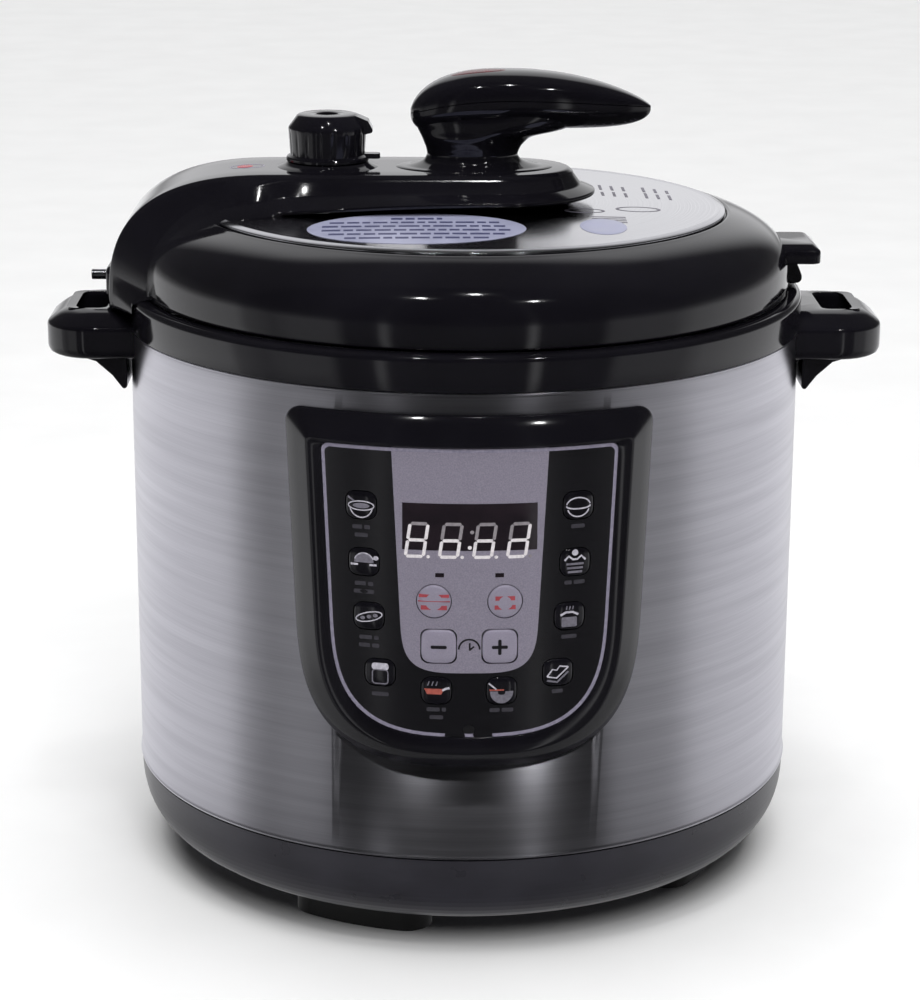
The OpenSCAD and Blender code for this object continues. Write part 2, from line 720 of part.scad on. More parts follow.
// Height and half width of the crease along the bridge's side
function crease_z(x) = 305.5 - 4.7 * pow((BRIDGE_END_X - x) / 97, 2.2);
function crease_w(x) = 43 - 5 * pow(max(0, (-55 - x) / 25), 1.5);

function bar_rings(inset) = [for (x = [ARM_X, -70, -60, -35, BRIDGE_END_X])
    let (w = min(28, 27 + (x - ARM_X) / 40) - inset, top = bridge_top_z - inset,
        low = crease_z(x) - 0.8 - inset * 0.7)
    both_sides([[x, 15 - inset, BRIDGE_FOOT_Z], [x, crease_w(x) - inset, low],
        [x, crease_w(x) - inset, low + 1.6], [x, w + 1.4, top - 2.6], [x, w + 0.6, top - 1.6],
        [x, w - 1.4, top]])];

// Round ring of radius r about x at height z
function round_ring(x, r, z) = [for (k = [0:47]) [x + r * cos(k * 7.5), r * sin(k * 7.5), z]];

module bridge_body(inset) {
    low = crease_z(BRIDGE_END_X) - 0.8 - inset * 0.7;
    top = bridge_top_z - inset;
    loft(concat(arm_rings(inset), bar_rings(inset)));
    loft([round_ring(19.4, 26.6 - inset, top), round_ring(19.4, 28.6 - inset, top - 1.6),
        round_ring(15, 43 - inset, low + 1.6), round_ring(15, 43 - inset, low),
        round_ring(15, 15 - inset, BRIDGE_FOOT_Z)]);
}

// Boss at the arm's foot that the push rod comes out of
module rod_boss() {
    difference() {
        translate([-160, 14, 0]) rotate([90, 0, 0]) linear_extrude(28)
            polygon([[0, ARM_Z], [0, 270], [2.5, 273.5], [8, 275], [8, ARM_Z]]);
        block([-156.5, -11, 250], [-140, 11, 271]);
    }
}

module lid_bridge() {
    color(BLACK) difference() {
        union() {
            difference() {
                union() {
                    bridge_body(0);
                    rod_boss();
                }
                bridge_body(3);
                block([-156.5, -11, 250], [-140, 11, 271]);
            }
            translate([valve_x, 0, 0]) rotate_extrude() polygon([[0, 312], [27, 312], [24, 315],
                [19.6, 317], [18.4, 318.3], [0, 318.3]]);
            for (y = [-1, 1]) translate([10, y * 9, 300]) cylinder(r = 4.5, h = 14);
        }
        lid_envelope(0.15);
        translate([0, 0, 240]) cylinder(r = sleeve_r + 1.8, h = 24.3);
        x_rod(3.1, rod_z, -170, -140);
        translate([valve_x, 0, 290]) cylinder(r = 5.3, h = 40);
        translate([valve_x, 0, 314]) cylinder(r = 15.5, h = 10);
        translate([float_x, 0, 290]) cylinder(r = 3.4, h = 40);
        translate([float_x + 1, 0, 313.3]) scale([7.5, 4.8, 1]) cylinder(r = 1, h = 10);
    }
}

module push_rod() {
    color(STEEL) {
        x_rod(2.3, rod_z, -167.5, -134);
        x_rod(3.1, rod_z, -156.2, -155.2);
    }
}

module push_rod_spring() {
    color(STEEL) translate([-155.2, 0, rod_z]) rotate([0, 90, 0]) coil(2.8, 0.35, 9.9, 5);
}

// ---------------------------------------------------------------- steam valve and handle

module valve_knob() {
    color(BLACK) translate([valve_x, 0, 0]) {
        difference() {
            union() {
                rotate_extrude() polygon([[0, 318.6], [18.4, 318.6], [18.4, 320.4], [16.7, 321.4],
                    [17.4, 333.3], [12.8, 339.3], [0, 339.3]]);
                block([16, -3, 319.5], [23.4, 3, 321.8]);
                translate([0, 6, 0]) rotate([90, 0, 0]) linear_extrude(12) polygon([[11, 334], [16.6, 330.6],
                    [19.8, 331.6], [20.2, 332.6], [18.1, 336.8], [12.4, 339], [11, 339]]);
                translate([0, 0, 315.2]) cylinder(r = 14, h = 4);
            }
            translate([0, 0, 310]) cylinder(r = 5.05, h = 13);
            translate([0, 0, 322.9]) cylinder(r = 8, h = 11.5);
            translate([0, 0, 330]) cylinder(r = 2.2, h = 12);
            for (a = [0:20:340]) rotate([0, 0, a]) translate([18.3, 0, 322.5]) cylinder(r = 1.6, h = 9);
        }
    }
}

module valve_needle() {
    color(STEEL) translate([valve_x, 0, 0]) rotate_extrude() polygon([[0, 323], [1.3, 326.1], [4, 326.1],
        [4, 331.5], [0, 331.5]]);
}

// Neck of the handle as ellipses: height, left end, right end and half width
NECK = [[316, -31, 39, 21], [316.8, -25, 33, 18.5], [318.5, -19.5, 26.5, 15.5], [321, -17.2, 23.6, 14.2],
    [324, -17.4, 24.2, 14.4], [327, -18.5, 26.4, 15], [330, -19.8, 31, 15.8], [333, -21.3, 44, 16.2],
    [337, -23, 52, 16.4], [341, -23.4, 58, 16]];

function neck_ring(n) = [for (k = [0:31]) let (a = k * 11.25)
    [(n[1] + n[2]) / 2 + (n[2] - n[1]) / 2 * cos(a), n[3] * sin(a), n[0]]];

HANDLE_MID = 19.7;
HANDLE_X = [-24.3, -23.6, -22.4, -20, -15, -8, 2, 11, 19.7, 28, 36, 50, 62, 71, 77, 80.5, 82];

// Half width of the handle at x: it tapers towards its tip
function handle_fill(x) = let (a = x < HANDLE_MID ? 44.2 : 63.2)
    pow(max(0, 1 - pow(abs(x - HANDLE_MID) / a, 2.1)), 1 / 2.1);
function handle_w(x) = 18.6 * pow(handle_fill(x), 0.85)
    * (x > HANDLE_MID ? 1 - 0.35 * pow((x - HANDLE_MID) / 63, 1.6) : 1);

// Heights at x of the line between the two halves, of the cap's top and of the belly's underside
function split_at(x) = x > 22 ? handle_split_z + 4.2 * (1 - pow(min(1, (x - 22) / 60), 1.6))
    : handle_split_z - 3 + 7.2 * (1 - pow((22 - x) / 46.4, 2.3));
function cap_at(x) = let (u = (HANDLE_MID - x) / 44.2, v = (x - HANDLE_MID) / 62.6)
    x < HANDLE_MID ? handle_split_z - 3 + (handle_top_z - handle_split_z + 3) * pow(1 - pow(u, 2.9), 1 / 1.7)
    : handle_split_z + (handle_top_z - handle_split_z) * pow(1 - v * v, 0.8);
function belly_at(x) = let (u = (HANDLE_MID - x) / 44.1, v = (x - HANDLE_MID) / 62.8)
    x < HANDLE_MID ? handle_split_z - 3 - 9.5 * pow(1 - pow(u, 8), 0.4)
    : handle_split_z - 10 * pow(1 - pow(v, 5), 0.4);

// Section of the cap, and half of the belly's section from its edge down to its lowest point
function cap_ring(x, lift = 0) = [for (k = [0:16]) let (a = 180 * k / 16, side = cos(a) < 0 ? -1 : 1)
    [x, -handle_w(x) * side * pow(abs(cos(a)), 0.8), split_at(x) + (cap_at(x) - split_at(x) + lift)
        * pow(sin(a), 0.8)]];
BELLY = [[1, 0], [1, 0.12], [0.97, 0.3], [0.86, 0.48], [0.62, 0.74], [0.3, 0.94], [0, 1]];
function belly_ring(x) = let (w = handle_w(x), drop = belly_at(x) - split_at(x)) concat(
    [for (p = BELLY) [x, w * p[0], split_at(x) + drop * p[1]]],
    [for (i = [len(BELLY) - 2:-1:0]) [x, -w * BELLY[i][0], split_at(x) + drop * BELLY[i][1]]]);

module handle_cap() {
    color(BLACK) loft([for (x = HANDLE_X) cap_ring(x)]);
}

module handle_base() {
    color(BLACK) difference() {
        union() {
            loft([for (x = HANDLE_X) belly_ring(x)]);
            loft([for (i = [len(NECK) - 1:-1:0]) neck_ring(NECK[i])]);
        }
        for (y = [-1, 1]) translate([10, y * 9, 300]) cylinder(r = 1.8, h = 30);
    }
}

module handle_mark() {
    color("#6e1420") intersection() {
        translate([5.5, -3, 330]) scale([12, 4, 1]) cylinder(r = 1, h = 40, $fn = 48);
        difference() {
            loft([for (x = [-8, 2, 11, 19.7]) cap_ring(x, 0.3)]);
            loft([for (x = HANDLE_X) cap_ring(x)]);
        }
    }
}

base_tray();
feet();
base_screws();
steel_sleeve();
collar_ring();
outer_pot();
heating_plate();
pressure_plate();
pressure_switch();
thermal_fuse();
sensor_plunger();
sensor_spring();
panel_bezel();
panel_carrier();
panel_overlay();
panel_screw();
display_window();
display_module();
control_board();
key_switches();
power_board();
power_inlet();
inlet_pins();
cup_bracket();
condensation_cup();
inner_pot();
sealing_ring();
lid_shell();
lid_tab();
lid_insert();
lid_label();
lid_bridge();
lid_plate();
ring_retainer();
lid_screws();
steam_shield();
vent_pipe();
float_seal();
float_valve();
valve_knob();
valve_needle();
push_rod();
push_rod_spring();
handle_base();
handle_cap();
handle_mark();
soup_key();
meat_key();
bean_key();
yogurt_key();
saute_key();
rice_key();
cake_key();
steam_key();
bread_key();
slow_cook_key();
cancel_key();
timer_key();
minus_key();
plus_key();
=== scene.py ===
import math
import random

import bmesh
import bpy
from mathutils import Matrix, Vector


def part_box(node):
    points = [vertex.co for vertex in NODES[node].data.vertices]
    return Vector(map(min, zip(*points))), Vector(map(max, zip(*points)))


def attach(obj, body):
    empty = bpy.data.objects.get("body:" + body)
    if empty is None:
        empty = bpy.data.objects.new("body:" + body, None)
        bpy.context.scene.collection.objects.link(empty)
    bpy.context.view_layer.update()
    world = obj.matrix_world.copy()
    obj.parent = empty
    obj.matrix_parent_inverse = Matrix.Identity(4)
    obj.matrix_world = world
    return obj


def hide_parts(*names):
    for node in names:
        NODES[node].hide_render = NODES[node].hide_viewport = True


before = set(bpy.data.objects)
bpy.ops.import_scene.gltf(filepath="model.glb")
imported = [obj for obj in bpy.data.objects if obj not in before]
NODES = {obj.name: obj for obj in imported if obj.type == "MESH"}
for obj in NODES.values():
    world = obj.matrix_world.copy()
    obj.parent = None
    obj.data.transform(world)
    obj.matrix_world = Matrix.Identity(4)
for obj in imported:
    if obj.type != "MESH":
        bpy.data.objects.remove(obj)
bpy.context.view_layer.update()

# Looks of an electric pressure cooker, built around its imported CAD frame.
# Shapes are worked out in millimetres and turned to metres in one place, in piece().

MM = 0.001


def box_mm(node_name):
    """Lowest and highest corner of a CAD node, in millimetres."""
    low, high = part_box(node_name)
    return low / MM, high / MM


def middle_and_half(node_name):
    """Middle of a CAD node and half its size, in millimetres."""
    low, high = box_mm(node_name)
    return (low + high) / 2, (high - low) / 2


# ---- sizes that pieces share, from a CAD node's box where one gives them

SLEEVE_LOW, SLEEVE_HIGH = box_mm("steel_sleeve")
SLEEVE_R = 150.0
SEAM_Z = SLEEVE_LOW.z
COLLAR_Z = SLEEVE_HIGH.z
COLLAR_TOP_Z = COLLAR_Z + 15.4
HANDLE_REACH = box_mm("collar_ring")[1].x
SIDE_HANDLE_HALF_W = 34.5
LID_R = 145.0
LID_Z = 264.2
LID_SIDE_Z = LID_Z + 4.3
DOME_RISE = 37.8
INSERT_R = box_mm("lid_insert")[1].x
INSERT_RIM_Z = 299.0
INSERT_RISE = 2.0
BRIDGE_TOP_Z = 316.0
VALVE_X = middle_and_half("vent_pipe")[0].x
FLOAT_X = middle_and_half("float_valve")[0].x
GRIP_TOP_Z = box_mm("handle_cap")[1].z
GRIP_SPLIT_Z = 343.0
OVERLAY_R = 155.3


# ---- finishes

def linear(hex_code):
    """Linear colour of an sRGB hex value."""
    parts = [int(hex_code[i:i + 2], 16) / 255 for i in (1, 3, 5)]
    return [c / 12.92 if c <= 0.04045 else ((c + 0.055) / 1.055) ** 2.4 for c in parts] + [1.0]


def node(tree, kind, values=None, stops=None, **settings):
    """Adds a node with its settings and values; a value that is an output socket is linked."""
    made = tree.nodes.new("ShaderNode" + kind)
    for key, value in settings.items():
        setattr(made, key, value)
    for key, value in (values or {}).items():
        if isinstance(value, bpy.types.NodeSocket):
            tree.links.new(value, made.inputs[key])
        else:
            made.inputs[key].default_value = value
    if stops:
        elements = made.color_ramp.elements
        while len(elements) < len(stops):
            elements.new(0.5)
        for element, (place, colour) in zip(elements, stops):
            element.position = place
            element.color = linear(colour) if isinstance(colour, str) else [colour] * 3 + [1.0]
    return made


def new_finish(name, **values):
    """A material with one Principled shader, its node tree, shader and object coordinates."""
    mat = bpy.data.materials.new(name)
    mat.use_nodes = True
    tree = mat.node_tree
    shader = tree.nodes["Principled BSDF"]
    for key, value in values.items():
        shader.inputs[key.replace("_", " ")].default_value = value
    place = node(tree, "TexCoord").outputs["Object"]
    return mat, tree, shader, place


def mottle(tree, shader, place, light, dark, size, rough=None, grain=None, stretch=(1, 1, 1)):
    """Shared surface life: two close tones in clouds `size` mm across, a roughness range that follows
    them, and a bump grain given as (size in mm, height in mm)."""
    spread = node(tree, "Mapping", {"Vector": place, "Scale": stretch}).outputs[0]
    cloud = node(tree, "TexNoise", {"Vector": spread, "Scale": 1 / (size * MM), "Detail": 4.0})
    tone = node(tree, "ValToRGB", {"Fac": cloud.outputs[0]}, stops=[(0.3, dark), (0.7, light)])
    tree.links.new(tone.outputs[0], shader.inputs["Base Color"])
    if rough:
        wear = node(tree, "MapRange", {"Value": cloud.outputs[0], "From Min": 0.3, "From Max": 0.7,
                                       "To Min": rough[0], "To Max": rough[1]})
        tree.links.new(wear.outputs[0], shader.inputs["Roughness"])
    if grain:
        pits = node(tree, "TexNoise", {"Vector": spread, "Scale": 1 / (grain[0] * MM), "Detail": 3.0})
        bump = node(tree, "Bump", {"Height": pits.outputs[0], "Strength": 1.0, "Distance": grain[1] * MM})
        tree.links.new(bump.outputs[0], shader.inputs["Normal"])
    return cloud


def even_finish(name, light, dark, size, rough, grain=None, stretch=(1, 1, 1), **values):
    """A material that is one mottled surface all over."""
    mat, tree, shader, place = new_finish(name, **values)
    mottle(tree, shader, place, light, dark, size, rough, grain, stretch)
    return mat


def brushed_stainless():
    """Stainless sheet, belt-brushed round the body: hairlines 60 mm long. Real ones are under 0.1 mm
    apart, drawn 0.35 mm apart so that they show. The lines spread reflections up and down."""
    mat, tree, shader, place = new_finish("brushed_stainless", Metallic=1.0, Anisotropic=0.86,
                                          Anisotropic_Rotation=0.25)
    lines = node(tree, "Mapping", {"Vector": place, "Scale": (1 / 60, 1 / 60, 1 / 0.35)}).outputs[0]
    hair = node(tree, "TexNoise", {"Vector": lines, "Scale": 1 / MM, "Detail": 5.0, "Roughness": 0.7})
    broad = node(tree, "Mapping", {"Vector": place, "Scale": (1 / 120, 1 / 120, 1 / 4)}).outputs[0]
    band = node(tree, "TexNoise", {"Vector": broad, "Scale": 1 / MM, "Detail": 2.0})
    both = node(tree, "Math", {0: hair.outputs[0], 1: band.outputs[0]}, operation="ADD")
    tone = node(tree, "ValToRGB", {"Fac": node(tree, "Math", {0: both.outputs[0], 1: 0.5},
                                               operation="MULTIPLY").outputs[0]},
                stops=[(0.36, "#cac9d1"), (0.64, "#dedde5")])
    tree.links.new(tone.outputs[0], shader.inputs["Base Color"])
    wear = node(tree, "MapRange", {"Value": hair.outputs[0], "From Min": 0.3, "From Max": 0.7,
                                   "To Min": 0.31, "To Max": 0.36})
    tree.links.new(wear.outputs[0], shader.inputs["Roughness"])
    bump = node(tree, "Bump", {"Height": hair.outputs[0], "Strength": 0.5, "Distance": 0.005 * MM})
    tree.links.new(bump.outputs[0], shader.inputs["Normal"])
    around = node(tree, "Tangent", direction_type="RADIAL", axis="Z")
    tree.links.new(around.outputs[0], shader.inputs["Tangent"])
    return mat


def spun_steel():
    """Lid insert, pressed from stainless and polished on a lathe: pale satin, with rings 0.6 mm apart
    (real ones are finer) that pull the highlights across them."""
    mat, tree, shader, place = new_finish("spun_stainless", Metallic=1.0, Anisotropic=0.5,
                                          Anisotropic_Rotation=0.25)
    flat = node(tree, "Mapping", {"Vector": place, "Scale": (1, 1, 0)}).outputs[0]
    radius = node(tree, "VectorMath", {0: flat}, operation="LENGTH").outputs["Value"]
    rings = node(tree, "TexNoise", {"W": radius, "Scale": 1 / (0.6 * MM), "Detail": 4.0},
                 noise_dimensions="1D")
    tone = node(tree, "ValToRGB", {"Fac": rings.outputs[0]}, stops=[(0.3, "#c3c3c8"), (0.7, "#d6d6da")])
    tree.links.new(tone.outputs[0], shader.inputs["Base Color"])
    wear = node(tree, "MapRange", {"Value": rings.outputs[0], "To Min": 0.1, "To Max": 0.2})
    tree.links.new(wear.outputs[0], shader.inputs["Roughness"])
    around = node(tree, "Tangent", direction_type="RADIAL", axis="Z")
    tree.links.new(around.outputs[0], shader.inputs["Tangent"])
    return mat


def overlay_film():
    """Polyester panel film printed on its back: gloss black with 0.3 mm by 12 mm brushed lines, and a
    silver field of fine flake in the middle. The field's outline is worked out from x and z."""
    mat, tree, shader, place = new_finish("printed_polyester_film", IOR=1.6, Coat_Weight=0.15,
                                          Coat_Roughness=0.15)
    spot = node(tree, "SeparateXYZ", {0: place})
    away = node(tree, "Math", {0: spot.outputs["X"]}, operation="ABSOLUTE")
    # half width = straight taper, times a rounded bottom below z = BEND
    bend, bottom, power = 158.0, 131.5, 4.2
    taper = node(tree, "MapRange", {"Value": spot.outputs["Z"], "From Min": bottom * MM,
                                    "From Max": 226 * MM, "To Min": 27.2 * MM, "To Max": 31.8 * MM})
    depth = node(tree, "MapRange", {"Value": spot.outputs["Z"], "From Min": bend * MM,
                                    "From Max": bottom * MM})
    fall = node(tree, "Math", {0: depth.outputs[0], 1: power}, operation="POWER")
    rest = node(tree, "Math", {0: 1.0, 1: fall.outputs[0]}, operation="SUBTRACT")
    curve = node(tree, "Math", {0: rest.outputs[0], 1: 1 / power}, operation="POWER")
    half = node(tree, "Math", {0: taper.outputs[0], 1: curve.outputs[0]}, operation="MULTIPLY")
    inside = node(tree, "Math", {0: away.outputs[0], 1: half.outputs[0]}, operation="LESS_THAN")
    lined = node(tree, "Mapping", {"Vector": place, "Scale": (1 / 12, 1 / 12, 1 / 0.3)}).outputs[0]
    hair = node(tree, "TexNoise", {"Vector": lined, "Scale": 1 / MM, "Detail": 3.0})
    black = node(tree, "ValToRGB", {"Fac": hair.outputs[0]}, stops=[(0.35, "#0c0b0f"), (0.7, "#131217")])
    flake = node(tree, "TexNoise", {"Vector": place, "Scale": 1 / (0.5 * MM), "Detail": 3.0})
    silver = node(tree, "ValToRGB", {"Fac": flake.outputs[0]}, stops=[(0.35, "#8a8494"), (0.65, "#9b95a6")])
    tone = node(tree, "Mix", {"Factor": inside.outputs[0], "A": black.outputs[0], "B": silver.outputs[0]},
                data_type="RGBA")
    tree.links.new(tone.outputs[2], shader.inputs["Base Color"])
    metal = node(tree, "Math", {0: inside.outputs[0], 1: 0.3}, operation="MULTIPLY")
    tree.links.new(metal.outputs[0], shader.inputs["Metallic"])
    wear = node(tree, "MapRange", {"Value": inside.outputs[0], "To Min": 0.24, "To Max": 0.46})
    tree.links.new(wear.outputs[0], shader.inputs["Roughness"])
    return mat


def ink(name, light, dark, glow=0.0):
    """Screen-printed ink: even and semi-matt, thinning a little every 1.2 mm."""
    mat, tree, shader, place = new_finish(name, IOR=1.5)
    cloud = mottle(tree, shader, place, light, dark, 1.2, (0.42, 0.6))
    if glow:
        shade = node(tree, "ValToRGB", {"Fac": cloud.outputs[0]}, stops=[(0.3, dark), (0.7, light)])
        tree.links.new(shade.outputs[0], shader.inputs["Emission Color"])
        shader.inputs["Emission Strength"].default_value = glow
    return mat


# Black ABS from a polished mould: near mirror gloss, with faint orange peel 6 mm across and
# slightly duller patches where hands have been.
GLOSS = even_finish("gloss_black_abs", "#131217", "#0d0c10", 45, (0.06, 0.11), (6, 0.004), IOR=1.54)
# Charcoal ABS from an etched mould: softer gloss than the lid, with a fine 0.8 mm grain.
BASE = even_finish("charcoal_base_abs", "#33323a", "#2a292f", 30, (0.26, 0.34), (0.8, 0.01), IOR=1.54)
# Black ABS with a spark-eroded surface: dull, with a 0.5 mm grain.
MATT = even_finish("matt_black_abs", "#1b1b1e", "#141416", 12, (0.5, 0.62), (0.5, 0.03), IOR=1.54)
# Moulded nitrile rubber: flat black with a dusty bloom and a 0.7 mm grain.
RUBBER = even_finish("nitrile_rubber", "#2c2c2c", "#1d1d1d", 9, (0.68, 0.85), (0.7, 0.04), IOR=1.52)
BRUSHED = brushed_stainless()
SPUN = spun_steel()
# Deep-drawn stainless with a satin buff: soft sheen with faint draw lines 3 mm apart up the wall.
DRAWN = even_finish("drawn_stainless", "#cfced3", "#bcbbc1", 14, (0.24, 0.34), (3, 0.006), (1, 1, 0.15), Metallic=1.0)
# Die-cast aluminium, bead-blasted: pale and dull, with a 0.9 mm sparkle grain.
CAST = even_finish("cast_aluminium", "#c6c7c9", "#acadb0", 8, (0.42, 0.55), (0.9, 0.03), Metallic=1.0)
# Zinc-plated steel for screws, rods and springs: bright, with a faint bluish cloud.
ZINC = even_finish("zinc_plated_steel", "#d4d5d9", "#b4b5bd", 3, (0.16, 0.3), (1, 0.003), Metallic=1.0)
# Injection-moulded clear polypropylene: cloudy, with flow marks 7 mm long.
CUP = even_finish("clear_polypropylene", "#e4e9ee", "#ccd3da", 7, (0.18, 0.3), (4, 0.01), (1, 1, 0.4), IOR=1.49,
                  Alpha=0.55)
# Cast silicone rubber: milky white, soft sheen, with a 1.5 mm waviness.
SILICONE = even_finish("translucent_silicone", "#e6e5e1", "#d6d5d0", 11, (0.38, 0.5), (1.5, 0.02), IOR=1.41,
                       Subsurface_Weight=0.2, Subsurface_Scale=0.002)
# Moulded red polypropylene: waxy gloss, with the tone a little uneven every 2 mm.
RED = even_finish("red_polypropylene", "#b3122c", "#8d0c20", 2, (0.2, 0.3), (1, 0.005), IOR=1.49)
# Wine red lacquer of the mark on the grip: the same waxy gloss, much darker.
DARK_RED = even_finish("wine_red_lacquer", "#5c0f1c", "#430a13", 2, (0.2, 0.3), (1, 0.005), IOR=1.49)
# Keys in metallic silver lacquer: flake 0.4 mm across under a soft clear coat.
SILVER = even_finish("silver_lacquer", "#a7a1b3", "#9a94a6", 0.4, (0.42, 0.52), (0.4, 0.003), Metallic=0.35,
                     Coat_Weight=0.3, Coat_Roughness=0.25)
FILM = overlay_film()
# Display window of dark tinted acrylic: black plum, high gloss, with faint wipe marks.
PANE = even_finish("smoked_acrylic", "#221a20", "#191419", 16, (0.08, 0.16), None, (1, 1, 3), IOR=1.49)
PALE_INK = ink("pale_grey_ink", "#c4c1cb", "#9d9aa6")
GREY_INK = ink("mid_grey_ink", "#77747f", "#5c5964")
DIM_INK = ink("dim_grey_ink", "#3f3d45", "#302e35")
BLACK_INK = ink("black_ink", "#1c1a20", "#131216")
RED_INK = ink("red_ink", "#a8404a", "#93343e")
ORANGE_INK = ink("orange_red_ink", "#b0584a", "#8d3f36")
BORDER_INK = ink("lavender_grey_ink", "#8e899b", "#757083")
NAVY_INK = ink("navy_ink", "#4a4c6c", "#3a3c5a")
LIT = ink("lit_segment", "#cdc8ca", "#b5b0b4", glow=0.28)
DIMLY_LIT = ink("half_lit_segment", "#8b8589", "#746f74", glow=0.12)
# Lavender vinyl sticker: semi-gloss with a soft 5 mm lie where it was pressed down.
LABEL = even_finish("lavender_vinyl", "#9c9eb6", "#9294ac", 9, (0.3, 0.42), (5, 0.01), IOR=1.52)
# Glass-epoxy board under green solder mask: glossy, with the weave showing every 0.7 mm.
BOARD = even_finish("solder_masked_epoxy", "#2f6440", "#24512f", 0.7, (0.25, 0.4), (0.7, 0.01), IOR=1.55)
# Steatite ceramic of the switches: cream, dull, lightly mottled every 3 mm.
CERAMIC = even_finish("steatite_ceramic", "#e2ddcf", "#cfc9b9", 3, (0.5, 0.65), (0.6, 0.02), IOR=1.6)
# Drawn brass: warm, bright, with draw lines 0.5 mm apart along the pin.
BRASS = even_finish("drawn_brass", "#c9a456", "#ac8944", 2, (0.2, 0.32), (0.5, 0.004), (1, 0.1, 1), Metallic=1.0)
# Matt white studio board: almost flat, with a trace of tone every 80 mm.
FLOOR = even_finish("studio_board", "#f3f3f3", "#efefef", 80, (0.85, 0.9), IOR=1.45)


# ---- shapes: (points, faces) in millimetres

def joined(*shapes):
    """Several shapes as one."""
    points, faces = [], []
    for shape_points, shape_faces in shapes:
        start = len(points)
        points += shape_points
        faces += [[start + i for i in face] for face in shape_faces]
    return points, faces


def loft(rings, closed=False, caps=True):
    """Skin through rings with equal point counts; closed joins the last ring to the first."""
    count, total = len(rings[0]), len(rings)
    points = [p for ring in rings for p in ring]
    faces = []
    for i in range(total if closed else total - 1):
        low, high = i * count, (i + 1) % total * count
        for j in range(count):
            k = (j + 1) % count
            faces.append([low + j, low + k, high + k, high + j])
    if caps and not closed:
        faces += [list(range(count))[::-1], [(total - 1) * count + j for j in range(count)]]
    return points, faces


def circle(r, z, sides, x=0.0):
    """Level ring of points about a vertical axis at x."""
    return [(x + r * math.cos(2 * math.pi * k / sides), r * math.sin(2 * math.pi * k / sides), z)
            for k in range(sides)]


def lathe(profile, sides=240, x=0.0):
    """Closed profile of (radius, z) turned about a vertical axis at x."""
    return loft([circle(r, z, sides, x) for r, z in profile], closed=True)


def arc(r, z, radius, start, end, steps=6):
    """Points of (r, z) on an arc, angles in degrees."""
    return [(r + radius * math.cos(math.radians(start + (end - start) * i / steps)),
             z + radius * math.sin(math.radians(start + (end - start) * i / steps))) for i in range(steps + 1)]


def smooth_path(points, steps):
    """Catmull-Rom curve through points of any dimension."""
    ends = [points[0]] + list(points) + [points[-1]]
    made = []
    for i in range(1, len(ends) - 2):
        for s in range(steps):
            t = s / steps
            made.append(tuple(
                0.5 * (2 * b + (c - a) * t + (2 * a - 5 * b + 4 * c - d) * t * t + (3 * b - a - 3 * c + d) * t ** 3)
                for a, b, c, d in zip(*ends[i - 1:i + 3])))
    return made + [tuple(points[-1])]


def rounded_box(x0, x1, y0, y1, corner, steps=8):
    """Outline of a rounded rectangle, anticlockwise; corner may be one radius or four."""
    radii = corner if isinstance(corner, (list, tuple)) else [corner] * 4
    middles = [(x1, y1, -1, -1, 0), (x0, y1, 1, -1, 90), (x0, y0, 1, 1, 180), (x1, y0, -1, 1, 270)]
    made = []
    for (cx, cy, sx, sy, turn), r in zip(middles, radii):
        for i in range(steps + 1):
            a = math.radians(turn + 90 * i / steps)
            made.append((cx + sx * r + r * math.cos(a), cy + sy * r + r * math.sin(a)))
    return made


def polar(outline, centre, count):
    """An outline resampled at `count` equal angles about a centre, so that outlines can be lofted."""
    made = []
    for k in range(count):
        a = 2 * math.pi * (k + 0.5) / count
        dx, dy = math.cos(a), math.sin(a)
        best = 0.0
        for (ax, ay), (bx, by) in zip(outline, outline[1:] + outline[:1]):
            ex, ey = bx - ax, by - ay
            det = ex * dy - ey * dx
            if abs(det) < 1e-9:
                continue
            wx, wy = ax - centre[0], ay - centre[1]
            reach, along = (ex * wy - ey * wx) / det, (dx * wy - dy * wx) / det
            if -1e-9 <= along <= 1 + 1e-9 and reach > best:
                best = reach
        made.append((centre[0] + best * dx, centre[1] + best * dy))
    return made


def on_drum(x, z, r):
    """Point at height z on the panel's drum of radius r, in front of the body."""
    return (x, -math.sqrt(r * r - x * x), z)


def stamp(outline, r_low, r_high, place=(0, 0)):
    """Thin raised print: an outline in (x, z), laid on the drum between two radii."""
    moved = [(x + place[0], z + place[1]) for x, z in outline]
    return loft([[on_drum(x, z, r) for x, z in moved] for r in (r_low, r_high)])


def stroke(path, width, closed=False):
    """Outline of a line of even width along (x, z) points; closed gives the two rims of a loop."""
    count = len(path)
    left, right = [], []
    for i, (x, z) in enumerate(path):
        before = path[i - 1] if i or closed else path[i]
        after = path[(i + 1) % count] if i < count - 1 or closed else path[i]
        dx, dz = after[0] - before[0], after[1] - before[1]
        size = math.hypot(dx, dz) or 1.0
        nx, nz = -dz / size * width / 2, dx / size * width / 2
        left.append((x + nx, z + nz))
        right.append((x - nx, z - nz))
    return (left, right) if closed else left + right[::-1]


def drawn(path, width, r_low, r_high, place=(0, 0), closed=False):
    """Thin raised line on the drum along (x, z) points."""
    moved = [(x + place[0], z + place[1]) for x, z in path]
    if not closed:
        return stamp(stroke(moved, width), r_low, r_high)
    left, right = stroke(moved, width, True)
    return loft([[on_drum(x, z, r_low) for x, z in left], [on_drum(x, z, r_high) for x, z in left],
                 [on_drum(x, z, r_high) for x, z in right], [on_drum(x, z, r_low) for x, z in right]], closed=True)


def oval(half_w, half_h, steps=24, tilt=0.0, start=0.0, end=360.0):
    """Points on an ellipse or part of one, angles in degrees."""
    made, c, s = [], math.cos(math.radians(tilt)), math.sin(math.radians(tilt))
    last = steps if end - start < 360 else steps - 1
    for i in range(last + 1):
        a = math.radians(start + (end - start) * i / steps)
        x, z = half_w * math.cos(a), half_h * math.sin(a)
        made.append((x * c - z * s, x * s + z * c))
    return made


